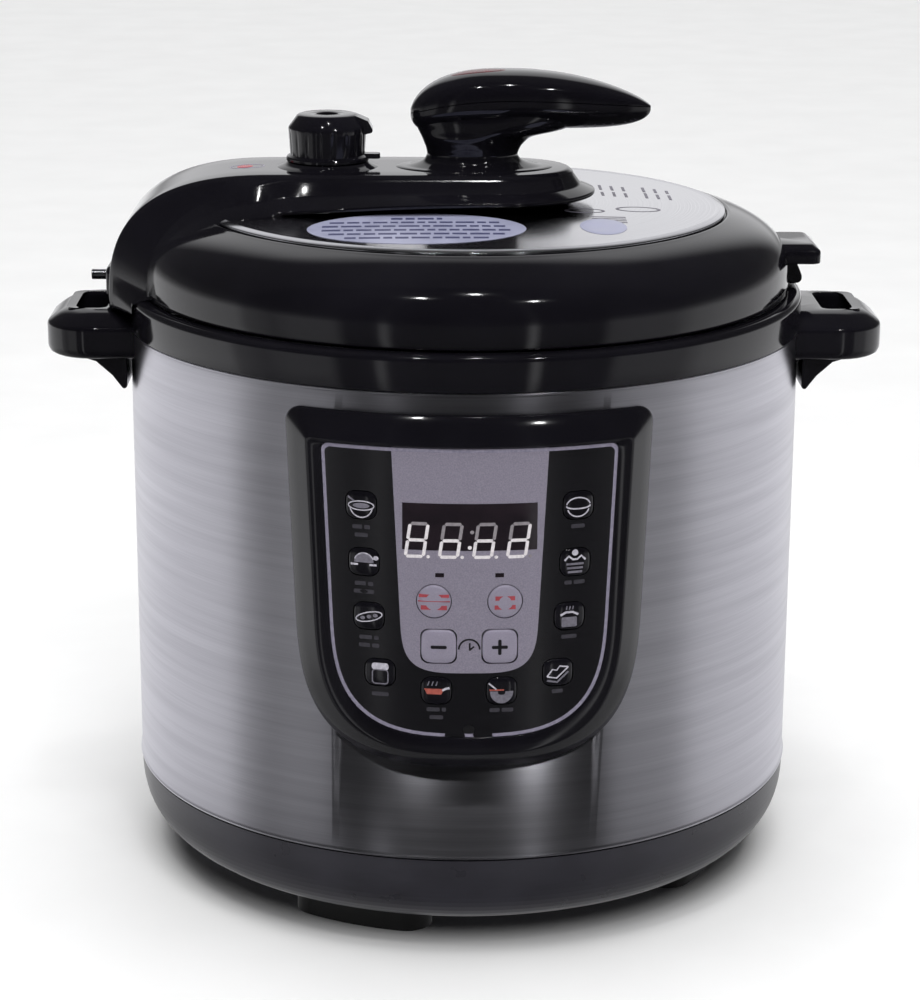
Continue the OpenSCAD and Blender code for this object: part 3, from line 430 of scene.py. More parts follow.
def piece(name, body, parts, stands_for=(), sharp=32.0, bevel=0.0):
    """A mesh piece of one or more (shape, finish) parts that rides on a CAD body. Edges sharper than
    `sharp` degrees stay crisp, or with bevel are rounded by that many millimetres."""
    mesh = bpy.data.meshes.new(name)
    points, faces, slots = [], [], []
    for slot, ((part_points, part_faces), finish) in enumerate(parts):
        start = len(points)
        points += part_points
        faces += [[start + i for i in face] for face in part_faces]
        slots += [slot] * len(part_faces)
        mesh.materials.append(finish)
    mesh.from_pydata([[c * MM for c in p] for p in points], [], faces)
    mesh.polygons.foreach_set("material_index", slots)
    shell = bmesh.new()
    shell.from_mesh(mesh)
    bmesh.ops.remove_doubles(shell, verts=shell.verts, dist=0.002 * MM)
    bmesh.ops.dissolve_degenerate(shell, edges=shell.edges, dist=0.001 * MM)
    bmesh.ops.recalc_face_normals(shell, faces=shell.faces)
    for face in shell.faces:
        face.smooth = True
    for edge in shell.edges:
        edge.smooth = bool(bevel) or edge.calc_face_angle(0.0) < math.radians(sharp)
    shell.to_mesh(mesh)
    shell.free()
    made = bpy.data.objects.new(name, mesh)
    bpy.context.scene.collection.objects.link(made)
    if bevel:
        rounding = made.modifiers.new("rounded_edges", "BEVEL")
        rounding.width, rounding.segments = bevel * MM, 3
        rounding.limit_method, rounding.angle_limit = "ANGLE", math.radians(sharp)
        rounding.harden_normals = True
    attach(made, body)
    if stands_for:
        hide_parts(*stands_for)
    return made


# ---- body

def sleeve():
    """Steel sleeve as one turned skin with rolled edges and a window behind the panel."""
    sides = 288
    bead = 0.8
    profile = arc(SLEEVE_R - 0.2, SEAM_Z + bead, bead, -90, 40) \
        + [(SLEEVE_R, SEAM_Z + 2.2), (SLEEVE_R, 110), (SLEEVE_R, 220), (SLEEVE_R, COLLAR_Z - 2.2)] \
        + arc(SLEEVE_R - 0.2, COLLAR_Z - bead, bead, -40, 90)
    points, faces = loft([circle(r, z, sides) for r, z in profile], caps=False)
    window = [f for f in faces if sum(points[i][1] for i in f) / 4 < 0
              and abs(sum(points[i][0] for i in f) / 4) < 54 and 110 < sum(points[i][2] for i in f) / 4 < 220]
    made = piece("sleeve_skin", "housing", [((points, [f for f in faces if f not in window]), BRUSHED)],
                 ["steel_sleeve"], sharp=60)
    wall = made.modifiers.new("sheet_thickness", "SOLIDIFY")
    wall.thickness, wall.offset = 0.9 * MM, -1.0
    return made


def collar():
    """Turned collar ring with a rounded shoulder."""
    r = SLEEVE_R + 1
    profile = [(137.4, COLLAR_Z), (r - 0.6, COLLAR_Z)] + arc(r - 0.6, COLLAR_Z + 0.6, 0.6, -90, 0, 3) \
        + arc(r - 3, COLLAR_TOP_Z - 3, 3, 0, 90, 10) + arc(144.2, COLLAR_TOP_Z - 0.7, 0.7, 90, 180, 3) \
        + [(142.5, COLLAR_TOP_Z - 9), (137.4, COLLAR_TOP_Z - 9)]
    return lathe(profile)


def side_handle():
    """Wing handle on +X: crowned top round a slot, upright sides and a wedge under it."""
    count = 96
    centre = (168.0, 0.0)
    w, reach = SIDE_HANDLE_HALF_W, HANDLE_REACH

    def rim(inset, z):
        corner = 22 - inset
        outline = rounded_box(141, reach - inset, inset - w, w - inset, [corner, 1.5, 1.5, corner])
        return [(x, y, z) for x, y in polar(outline, centre, count)]

    def slot(grow, z):
        outline = rounded_box(160 - grow, 176 + grow, -18 - grow, 18 + grow, 3.5 + grow)
        return [(x, y, z) for x, y in polar(outline, centre, count)]

    # (inset, z) from the slot's lower edge round the outside to the slot's upper edge
    outside = [(4.5, 234.8), (2.4, 235.1), (0.8, 236.1), (0.1, 237.8), (0, 239.5), (0, 247.6), (0.15, 248.5),
               (0.6, 249.2), (1.4, 249.9), (3.2, 251.3), (5.6, 252.9), (8, 254.1), (10.5, 254.9), (13, 255.2)]
    rings = [slot(0.6, 234.8)] + [rim(inset, z) for inset, z in outside]
    rings += [slot(1.6, 255.4), slot(0.7, 255.2), slot(0.1, 254.4), slot(0, 253), slot(0, 236), slot(0.2, 235.1)]
    plate = loft(rings, closed=True)
    side_profile = [(143, 236), (176, 236), (164, 232.3), (157, 226), (152.2, 219.6), (150.4, 220.5), (150.4, 236)]
    wedge = loft([[(x, y, z) for x, z in side_profile] for y in (-26, 26)])
    return plate, wedge


def mirrored(shape):
    """The same shape on the -X side."""
    points, faces = shape
    return [(-x, y, z) for x, y, z in points], [face[::-1] for face in faces]


def collar_and_handles():
    plate, wedge = side_handle()
    piece("collar", "housing", [(collar(), GLOSS)], ["collar_ring"])
    for name, turn in (("right", lambda shape: shape), ("left", mirrored)):
        piece(name + "_side_handle", "housing", [(turn(plate), GLOSS)], ["collar_ring"], sharp=38)
        piece(name + "_handle_wedge", "housing", [(turn(wedge), GLOSS)], ["collar_ring"], bevel=1.2)


# ---- control panel

def panel_half(w, top, bottom, z):
    """Half width of a panel outline: tapering sides with a rounded bottom."""
    bend = 156.5
    u = max(0.0, (bend - z) / (bend - bottom))
    return (w - 0.041 * (top - z)) * max(0.0, 1 - u ** 3.3) ** (1 / 3.3)


def panel_outline(w, top, bottom, corner):
    """Closed outline of the panel with rounded top corners, from the bottom centre anticlockwise."""
    bend = 156.5
    heights = [bottom + (bend - bottom) * (1 - math.cos(math.pi / 2 * i / 26)) for i in range(26)]
    heights += [bend + (top - corner - bend) * i / 20 for i in range(20)]
    side = [(panel_half(w, top, bottom, z), z) for z in heights]
    edge = panel_half(w, top, bottom, top - corner)
    side += [(edge - corner * (1 - math.cos(math.radians(a))), top - corner + corner * math.sin(math.radians(a)))
             for a in range(0, 91, 10)]
    flat = side[-1][0]
    upper = [(flat * (1 - i / 10), top) for i in range(1, 20)]
    return side + upper + [(-x, z) for x, z in side[:0:-1]]


def between(first, second, t):
    return [(a[0] + (b[0] - a[0]) * t, a[1] + (b[1] - a[1]) * t) for a, b in zip(first, second)]


def bezel():
    """Bezel frame: broad chamfer, narrow face and a soft slope down to the film, with edges that
    are rounded by rings close to them."""
    outer = panel_outline(75.5, 239, 89, 7)
    face = panel_outline(66.8, 228.3, 96.7, 2)
    inner = panel_outline(60.6, 226.6, 103.4, 3)
    stages = [(outer, 150.1), (between(outer, face, 0.01), 150.9), (between(outer, face, 0.06), 151.5),
              (between(outer, face, 0.5), 154.2), (between(outer, face, 0.92), 156.55),
              (between(outer, face, 0.97), 156.82), (face, 156.95),
              (between(face, inner, 0.06), 157.0), (between(face, inner, 0.2), 156.95),
              (between(face, inner, 0.55), 156.5), (between(face, inner, 0.9), 155.95),
              (between(face, inner, 0.98), 155.8), (inner, 155.6), (inner, 154.2), (inner, 150.1)]
    rings = [[on_drum(x, z, r) for x, z in outline] for outline, r in stages]
    return piece("panel_frame", "housing", [(loft(rings, closed=True), GLOSS)], ["panel_bezel"], sharp=50)


def panel_trim():
    """Printed border line, clock mark and the plain bars under the keys."""
    low, high = OVERLAY_R - 0.02, OVERLAY_R + 0.05
    edge = panel_outline(60.3, 226.3, 103.7, 3)
    inside = panel_outline(58.9, 224.9, 105.1, 2.4)
    rings = [[on_drum(x, z, r) for x, z in outline]
             for outline, r in ((edge, low), (edge, high), (inside, high), (inside, low))]
    piece("border_line", "housing", [(loft(rings, closed=True), BORDER_INK)])
    clock = joined(drawn(oval(4.3, 4.3, 18, 0, 0, 180), 0.75, low, high, (0, 141.8)),
                   drawn([(0.2, 0), (0.2, 3)], 0.7, low, high, (0, 141.6)),
                   drawn([(0, 0), (2, 1.7)], 0.7, low, high, (0, 141.4)))
    piece("clock_mark", "housing", [(clock, BLACK_INK)])
    # two rows of plain bars under each program key: offsets from the key's middle, then bar lengths
    rows = {"soup_key": [(-9.2, (4, 2.4)), (-12.6, (5.4,))], "meat_key": [(-9.2, (4.6, 2.2)), (-12.6, (8.4,))],
            "bean_key": [(-9.2, (5.2, 2)), (-12.6, (4.6, 3))], "yogurt_key": [(-9.4, (7,))],
            "saute_key": [(-8.2, (5.4, 1.8)), (-11.6, (5.6,))], "rice_key": [(-8.8, (5.6,))],
            "cake_key": [(-8.6, (3, 4.6))], "steam_key": [(-8.8, (6.4,))], "bread_key": [(-8.2, (4.6,))],
            "slow_cook_key": [(-8.4, (4.2, 4.8))]}
    bars = []
    for key, lines in rows.items():
        middle = middle_and_half(key)[0]
        for drop, lengths in lines:
            x = middle.x - (sum(lengths) + 0.8 * (len(lengths) - 1)) / 2
            for length in lengths:
                bars.append(stamp(rounded_box(0, length, -0.85, 0.85, 0.5, 3), low, high, (x, middle.z + drop)))
                x += length + 0.8
    piece("key_bars", "housing", [(joined(*bars), DIM_INK)])


def digits():
    """Four slanted figures of seven bars with their dots and a colon, on the smoked pane."""
    low, high = OVERLAY_R - 0.02, OVERLAY_R + 0.04
    middle_z = middle_and_half("display_window")[0].z
    height, width, pitch, thick, slant = 15.2, 8.6, 13.8, 1.35, math.tan(math.radians(8))
    bright, dull = [], []

    def bar(ax, az, bx, bz, x, group):
        """Bar with pointed ends between two corners of a figure."""
        dx, dz = bx - ax, bz - az
        size = math.hypot(dx, dz)
        ux, uz, h = dx / size, dz / size, thick / 2
        ring = [(ax + ux * 0.2, az + uz * 0.2), (ax + ux * h - uz * h, az + uz * h + ux * h),
                (bx - ux * h - uz * h, bz - uz * h + ux * h), (bx - ux * 0.2, bz - uz * 0.2),
                (bx - ux * h + uz * h, bz - uz * h - ux * h), (ax + ux * h + uz * h, az + uz * h - ux * h)]
        group.append(stamp([(px + x + pz * slant, pz + middle_z) for px, pz in ring], low, high))

    for i in range(4):
        x = (i - 1.5) * pitch - 0.8
        w, h = (width - thick) / 2, (height - thick) / 2
        bar(-w, 0, w, 0, x, bright)
        bar(-w, -h, w, -h, x, bright)
        bar(-w, h, w, h, x, dull)
        for side in (-w, w):
            bar(side, -h, side, 0, x, bright)
            bar(side, 0, side, h, x, bright if i == 0 or (i == 3 and side > 0) else dull)
        dot_x = x + width / 2 + 1.3 - h * slant
        (dull if i == 3 else bright).append(stamp(oval(0.75, 0.7, 12), low, high, (dot_x, middle_z - h)))
    for z, group in ((-2.9, bright), (3.6, dull)):
        group.append(stamp(oval(0.85, 0.8, 12), low, high, (0.4 + z * slant, middle_z + z)))
    piece("display_figures", "housing", [(joined(*bright), LIT), (joined(*dull), DIMLY_LIT)])


def key_cap(x, z, half_w, half_h, power, back_r, face_r, dome):
    """Domed cap on the drum with a superellipse outline: soft edge, then a low crown."""
    count = 64

    def ring(scale, r):
        made = []
        for k in range(count):
            a = 2 * math.pi * k / count
            c, s = math.cos(a), math.sin(a)
            px = math.copysign(abs(c) ** (2 / power), c) * half_w * scale
            pz = math.copysign(abs(s) ** (2 / power), s) * half_h * scale
            made.append(on_drum(x + px, z + pz, r))
        return made

    steps = [(1.0, back_r), (1.0, face_r - 0.1), (0.985, face_r + 0.15 * dome), (0.95, face_r + 0.38 * dome),
             (0.88, face_r + 0.6 * dome), (0.76, face_r + 0.8 * dome), (0.6, face_r + 0.92 * dome),
             (0.4, face_r + 0.98 * dome), (0.2, face_r + dome), (0.06, face_r + dome)]
    return loft([ring(scale, r) for scale, r in steps])


# Printed marks of the program keys, about each key's middle: ink, points, line width, or None for a
# filled patch, and True where the line closes
KEY_SYMBOLS = {
    "soup_key": [(PALE_INK, oval(5.2, 1.9), 0.45, True), (GREY_INK, oval(3.4, 1.1), None),
                 (PALE_INK, oval(4.6, 5, 16, 0, 190, 350), 0.45),
                 (GREY_INK, [(-5.4, 3.6), (-4.2, 2.7), (-3, 1.9)], 0.7)],
    "meat_key": [(GREY_INK, oval(4, 4, 16, 0, 0, 180), None), (PALE_INK, [(-5.4, -0.9), (5.2, -0.9)], 0.8),
                 (PALE_INK, oval(4, 4, 14, 0, 20, 160), 0.45),
                 (PALE_INK, [(x + 4.9, z + 2.1) for x, z in oval(1.1, 0.9, 12)], None)],
    "bean_key": [(PALE_INK, oval(5.5, 1.9, 26, 14), 0.45, True)]
    + [(GREY_INK, [(x + k * 2.6, z + k * 0.65) for x, z in oval(1, 0.8, 12)], None) for k in (-1, 0, 1)],
    "yogurt_key": [(GREY_INK, rounded_box(-3.2, 3.2, -4.6, 1.4, 1.2, 4), 0.5, True),
                   (PALE_INK, rounded_box(-3.5, 3.5, 1.4, 4.3, 1.2, 4), None)],
    "saute_key": [(ORANGE_INK, [(-5, 1.1), (3.2, 1.1), (2, -1.3), (-3.8, -1.3)], None),
                  (PALE_INK, [(2.4, 0.4), (3.8, 1.2), (5.4, 1.5)], 0.9)]
    + [(GREY_INK, [(-3.6 + k * 1.7, 2.4), (-3 + k * 1.7, 4.2)], 0.45) for k in range(3)],
    "rice_key": [(PALE_INK, oval(4.9, 3.4, 16, 0, 10, 170), 0.5), (PALE_INK, oval(4.9, 1.3, 16, 0, 180, 360), 0.6),
                 (PALE_INK, oval(4.6, 4.6, 16, 0, 200, 340), 0.5)],
    "cake_key": [(PALE_INK, [(x, z + 4.2) for x, z in oval(1.3, 1.3, 14)], None),
                 (PALE_INK, [(-4.3, 1), (-2.6, 2.8), (-0.9, 1.4), (0.9, 1.4), (2.6, 2.8), (4.3, 1)], 0.8)]
    + [(GREY_INK, [(-3.6 + 0.3 * k, -0.6 - 1.7 * k), (3.6 - 0.3 * k, -0.6 - 1.7 * k)], 0.9) for k in range(3)],
    "steam_key": [(GREY_INK, rounded_box(-3.2, 3.2, -4.4, -0.2, 0.6, 3), None),
                  (PALE_INK, [(-3.7, 0.7), (-1.4, 1.9), (1.4, 1.9), (3.7, 0.7)], 0.9)]
    + [(GREY_INK, [(k * 1.3, 3), (k * 1.3 + 0.3, 4.4)], 0.5) for k in (-1, 0, 1)],
    "bread_key": [(PALE_INK, [(-4.4, -1.4), (-2.2, 1.6), (-0.4, 1.2), (0.8, 2.9), (4.4, 2.3)], 0.6),
                  (PALE_INK, [(-4.4, -1.4), (-0.4, -2.2), (4.4, 2.3)], 0.6),
                  (GREY_INK, [(-4.4, -3.1), (-0.2, -4), (4.4, 0.3)], 0.8)],
    "slow_cook_key": [(GREY_INK, oval(4.8, 5.2, 16, 0, 180, 360), None), (ORANGE_INK, [(-5, 0.6), (1, 0.6)], 0.6),
                      (PALE_INK, [(-5.3, 3.5), (-2.2, 0.9)], 0.6)]}


def keys():
    """Every key cap with its own print, on its own body."""
    back, front = SLEEVE_R + 1.8, OVERLAY_R - 0.1

    def cap(name, power, dome):
        """The cap of a key, and the middle of its face."""
        middle, half = middle_and_half(name)
        return key_cap(middle.x, middle.z, half.x, half.z, power, back, front, dome), (middle.x, middle.z)

    near, far = OVERLAY_R + 0.6, OVERLAY_R + 0.96
    for name, symbol in KEY_SYMBOLS.items():
        shape, place = cap(name, 3.4, 1.0)
        parts = [(shape, GLOSS)]
        for finish in (PALE_INK, GREY_INK, ORANGE_INK):
            marks = [stamp(path, near, far, place) if width is None
                     else drawn(path, width, near, far, place, bool(closed))
                     for colour, path, width, *closed in symbol if colour is finish]
            if marks:
                parts.append((joined(*marks), finish))
        piece(name + "_cap", name, parts, [name])
    near, far = OVERLAY_R + 0.8, OVERLAY_R + 1.26
    # rows of red bars on the round keys: height of the row, thickness and bar lengths
    red_rows = {"cancel_key": [(2.6, 1.2, (6, 5.6)), (0.3, 0.3, (13,)), (-2.4, 1.8, (10.6,))],
                "timer_key": [(1.6, 1.8, (8,)), (-2.2, 1.8, (8.6,))]}
    for name, rows in red_rows.items():
        shape, place = cap(name, 2.0, 1.3)
        bars = []
        for rise, thick, lengths in rows:
            at = -(sum(lengths) + 0.7 * (len(lengths) - 1)) / 2
            for length in lengths:
                bars.append(drawn([(at + length * i / 6, rise) for i in range(7)], thick, near - 0.3,
                                  far - 0.05 * abs(rise), place))
                at += length + 0.7
        piece(name + "_cap", name, [(shape, SILVER), (joined(*bars), RED_INK)], [name])
    for name in ("minus_key", "plus_key"):
        shape, place = cap(name, 4.0, 1.3)
        marks = [stamp(rounded_box(-3.3, 3.3, -0.7, 0.7, 0.6, 4), near, far, place)]
        if name == "plus_key":
            marks.append(stamp(rounded_box(-0.7, 0.7, -3.3, 3.3, 0.6, 4), near, far, place))
        piece(name + "_cap", name, [(shape, SILVER), (joined(*marks), BLACK_INK)], [name])


# ---- lid

def dome_z(r, outer=LID_R, rise=DOME_RISE):
    """Height of the lid's dome at radius r."""
    return LID_SIDE_Z + rise * max(0.0, 1 - min(r / outer, 1.0) ** 3) ** (1 / 3)


def insert_z(r):
    return INSERT_RIM_Z + INSERT_RISE * (1 - (r / INSERT_R) ** 2)


def lid_shell():
    """Turned lid shell: rounded lower edge, full dome and the seat of the insert."""
    outside = [(LID_R * math.sin(math.radians(90 - 1.2 * i)), 0) for i in range(60)]
    outside = [(r, dome_z(r)) for r, _ in outside if r > INSERT_R + 2.4]
    profile = [(142.4, LID_Z)] + arc(LID_R - 0.8, LID_Z + 0.8, 0.8, -90, 0, 4) + outside \
        + arc(INSERT_R + 1.9, dome_z(INSERT_R + 1.9) - 1.5, 1.5, 75, 180, 8) \
        + [(INSERT_R + 0.3, INSERT_RIM_Z - 2.4), (60, 297.4), (0.01, 298.8), (0.01, 296.2), (60, 295), (100, 294)] \
        + [((LID_R - 2.6) * math.sin(math.radians(a)), dome_z((LID_R - 2.6) * math.sin(math.radians(a)),
            LID_R - 2.6, DOME_RISE - 2.6) - 0.4) for a in range(50, 91, 4)]
    piece("lid_dome", "lid", [(lathe(profile, 288), GLOSS)], ["lid_shell"], sharp=40)


def insert():
    """Pressed steel disc: fine bevelled ridge near its rim, then an almost flat field."""
    r = INSERT_R
    profile = [(0.01, insert_z(0) - 1.8), (r - 0.3, INSERT_RIM_Z - 1.8), (r, INSERT_RIM_Z - 1.4),
               (r, INSERT_RIM_Z - 0.9)] + arc(r - 0.5, INSERT_RIM_Z - 0.9, 0.5, 0, 70, 3) \
        + [(r - 2.4, INSERT_RIM_Z + 0.35)] + arc(r - 3, INSERT_RIM_Z + 0.15, 0.35, 60, 120, 3) \
        + [(r - 4.6, insert_z(r - 4.6) + 0.02), (r - 5.2, insert_z(r - 5.2))] \
        + [(r - 5.2 - (r - 5.2) * i / 14, insert_z(r - 5.2 - (r - 5.2) * i / 14)) for i in range(1, 14)] \
        + [(0.01, insert_z(0))]
    piece("insert_disc", "lid", [(lathe(profile, 240), SPUN)], ["lid_insert"], sharp=25)


def on_insert(x, y, lift):
    return (x, y, insert_z(math.hypot(x, y)) + lift)


def insert_label():
    """Oval sticker on the insert with a fine rim line and rows of plain bars, and the plain grey
    marks printed on the insert's right side."""
    (cx, cy, _), (half_w, half_h, _) = middle_and_half("lid_label")

    def disc(scale_rings, x, y, half_x, half_y):
        rings = [[on_insert(x + half_x * s * math.cos(2 * math.pi * k / 72),
                            y + half_y * s * math.sin(2 * math.pi * k / 72), lift) for k in range(72)]
                 for s, lift in scale_rings]
        return loft(rings)

    sticker = disc([(0.999, 0.0), (1.0, 0.1), (0.997, 0.18), (0.97, 0.2), (0.8, 0.2), (0.6, 0.2), (0.4, 0.2),
                    (0.2, 0.2), (0.03, 0.2)], cx, cy, half_w, half_h)

    def flat_bar(x0, x1, y, thick, base_lift=0.16):
        steps = 6
        near = [(x0 + (x1 - x0) * i / steps, y - thick / 2) for i in range(steps + 1)]
        far = [(x, y + thick / 2) for x, _ in near[::-1]]
        return loft([[on_insert(px, py, base_lift + rise) for px, py in near + far] for rise in (0, 0.08)])

    rng = random.Random(7)
    bars = []
    for row in range(6):
        y = cy + half_h * (0.62 - 0.25 * row)
        reach = half_w * math.sqrt(max(0.0, 1 - ((y - cy) / half_h) ** 2)) - 6
        if row == 0:
            reach = 11
        x = cx - reach
        while x < cx + reach - 1.5:
            length = min(rng.uniform(3, 9), cx + reach - x)
            bars.append(flat_bar(x, x + length, y, 3.4 if row else 4.2))
            x += length + 1.3
    piece("insert_sticker", "lid", [(sticker, LABEL), (joined(*bars), NAVY_INK)], ["lid_label"])
    marks = []
    for column in range(7):
        x = 57 + 5.2 * column + (4 if column > 3 else 0)
        for row in range(2):
            y0 = 33 - 17 * row - 1.5 * column
            length = rng.uniform(8, 14)
            marks.append(loft([[on_insert(px, py, lift) for px, py in
                                ((x, y0), (x + 1.3, y0), (x + 1.3, y0 + length), (x, y0 + length))]
                               for lift in (0.0, 0.08)]))
    for x, y, half_x, half_y in ((52, -26, 9, 5), (76, -20, 10, 6)):
        ring = []
        for s, lift in ((1, 0), (1, 0.08), (0.86, 0.08), (0.86, 0)):
            ring.append([on_insert(x + half_x * s * math.cos(2 * math.pi * k / 40),
                                   y + half_y * s * math.sin(2 * math.pi * k / 40), lift) for k in range(40)])
        marks.append(loft(ring, closed=True))
    for k in range(4):
        marks.append(flat_bar(54, 54 + 15, -40 - 4 * k, 1.2, 0.0))
    piece("insert_marks", "lid", [(joined(*marks), GREY_INK)])
    patch = disc([(0.999, 0.0), (1.0, 0.08), (0.99, 0.12), (0.7, 0.12), (0.4, 0.12), (0.05, 0.12)], 58, -62, 10, 17)
    piece("small_sticker", "lid", [(patch, LABEL)])


ARM_X, ARM_Z = -80.0, 257.5
ARM_REACH, ARM_RISE = 77.5, 58.5
BRIDGE_FOOT_Z = 295.5
BRIDGE_END_X = 15.0


def soften(path, radius):
    """A 3-D line with each inner corner turned into a short curve."""
    made = [tuple(path[0])]
    for before, corner, after in zip(path, path[1:], path[2:]):
        a, b, c = Vector(before), Vector(corner), Vector(after)
        r = min(radius, (a - b).length * 0.45, (c - b).length * 0.45)
        start, end = b + (a - b).normalized() * r, b + (c - b).normalized() * r
        for t in (0, 0.25, 0.5, 0.75, 1):
            made.append(tuple(start * (1 - t) ** 2 + b * 2 * t * (1 - t) + end * t * t))
    return made + [tuple(path[-1])]


def crease_z(x):
    """Height of the crease along the bridge's side."""
    return 305.5 - 4.7 * max(0.0, (BRIDGE_END_X - x) / 95) ** 2.2


def clear_of_collar(x, w, z):
    """Keeps a point of the arm's foot outside the collar, which the lid turns in."""
    if z < COLLAR_TOP_Z + 1.2 and math.hypot(x, w) < SLEEVE_R + 2.0:
        x = -math.sqrt(max(0.0, (SLEEVE_R + 2.0) ** 2 - w * w))
    return (x, w, z)


def arm_side(t):
    """Half section of the arm at t, 0 at its tip and 1 at the bar: from foot to top middle."""
    a = math.pi / 2 * t
    c, s = math.cos(a) ** (2 / 2.75), math.sin(a) ** (2 / 2.75)
    band = 18 - 15.5 * t ** 1.6
    joint = 37 + 13 * c ** 0.35 - 6 * (1 - s) ** 2

    def at(reach, rise, w):
        return clear_of_collar(ARM_X - reach * c, w, ARM_Z + rise * s)

    edge = 27 + 0.9 * band
    return [at(53.5, 38, joint), at(57, 41.5, joint), at(58, 42.5, joint - 0.6),
            at((58 + ARM_REACH - band) / 2 - 0.6, (42.5 + ARM_RISE - band) / 2 - 0.6, (joint + edge) / 2 - 0.8),
            at(ARM_REACH - band, ARM_RISE - band, edge), at(ARM_REACH - 1.6, ARM_RISE - 1.6, 27.6),
            at(ARM_REACH, ARM_RISE, 25.6), at(ARM_REACH, ARM_RISE, 12), at(ARM_REACH, ARM_RISE, 0)]


def bar_side(x, turn=0.0):
    """Half section of the bar at x, or at an angle round its right end."""
    w = min(28.0, 27 + (x - ARM_X) / 40)
    crease_w = 43 - 5 * max(0.0, (-55 - x) / 25) ** 1.5
    low = crease_z(x) - 0.8
    shape = [(15, BRIDGE_FOOT_Z, 0), (crease_w, low, 0), (crease_w, low + 1.6, 0),
             ((crease_w + w) / 2 - 0.9, (low + BRIDGE_TOP_Z) / 2 - 1.4, 2), (w + 1.4, BRIDGE_TOP_Z - 2.6, 4),
             (w + 0.6, BRIDGE_TOP_Z - 1.6, 4.4), (w - 1.4, BRIDGE_TOP_Z, 4.4), (w / 2, BRIDGE_TOP_Z, 2.2),
             (0, BRIDGE_TOP_Z, 0)]
    return [(x + (r + shift) * math.sin(turn), r * math.cos(turn), z) for r, z, shift in shape]


def bridge():
    """Bridge over the lid: an arm that curves down on the left and a bar with a round right end.
    One half section runs along one side, round the end and back."""
    arm = [arm_side(i / 30) for i in range(30)]
    bar = [bar_side(ARM_X + (BRIDGE_END_X - ARM_X) * k / 12) for k in range(13)]
    end = [bar_side(BRIDGE_END_X, math.pi / 2 * k / 20) for k in range(1, 21)]
    near = [soften(side, 0.8) for side in arm + bar + end]
    rows = [[(x, -y, z) for x, y, z in row] for row in near] + near[-2::-1]
    count = len(rows[0])
    faces = [[i * count + j, i * count + j + 1, (i + 1) * count + j + 1, (i + 1) * count + j]
             for i in range(len(rows) - 1) for j in range(count - 1)]
    last = (len(rows) - 1) * count
    faces += [[j, last + j, last + j + 1, j + 1] for j in range(count - 1)]
    piece("bridge_shell", "lid", [(([p for row in rows for p in row], faces), GLOSS)], ["lid_bridge"], sharp=50)
    boss = loft([[(-150.0 - reach, y, z) for y, z in rounded_box(-14 + inset, 14 - inset, 257.6, 272.5 - inset, 3)]
                 for reach, inset in ((0, 0), (8.2, 0), (9.3, 0.5), (9.9, 1.4))])
    piece("rod_boss", "lid", [(boss, GLOSS)], ["lid_bridge"], sharp=50)


def arm_top_z(x):
    """Height of the bridge's top at x."""
    u = min(1.0, max(0.0, (ARM_X - x) / ARM_REACH))
    return ARM_Z + ARM_RISE * (1 - u ** 2.75) ** (1 / 2.75)


def valve_seat():
    """Flared pedestal under the steam valve, and the oval well with the float valve's red head."""
    seat = lathe([(13, 312), (27, 312), (24.6, 314.8), (22.4, 316.1), (20.3, 316.9), (18.9, 317.6)]
                 + arc(18.0, 317.9, 0.45, 40, 120, 3) + [(13, 317.9)], 120, VALVE_X)
    piece("valve_seat", "lid", [(seat, GLOSS)])

    def well_ring(half_x, half_y, lift):
        """Oval ring of points that lies on the bridge's top."""
        made = []
        for k in range(64):
            a = 2 * math.pi * k / 64
            x = FLOAT_X + 1 + half_x * math.cos(a)
            made.append((x, half_y * math.sin(a), arm_top_z(x) + lift))
        return made

    rim = loft([well_ring(7.9, 5.2, -0.4), well_ring(7.9, 5.2, 0.0), well_ring(7.6, 4.9, 0.14),
                well_ring(7.2, 4.5, 0.04), well_ring(7.1, 4.4, -0.4)], closed=True)
    piece("float_well", "lid", [(rim, SILVER)])
    head = loft([[(FLOAT_X + r * math.cos(2 * math.pi * k / 40), r * math.sin(2 * math.pi * k / 40),
                   arm_top_z(FLOAT_X + r * math.cos(2 * math.pi * k / 40)) + lift) for k in range(40)]
                 for r, lift in ((3.6, -0.3), (3.6, 0.02), (3.3, 0.12), (1.8, 0.16), (0.3, 0.18))])
    piece("float_head", "float_valve", [(head, RED)])


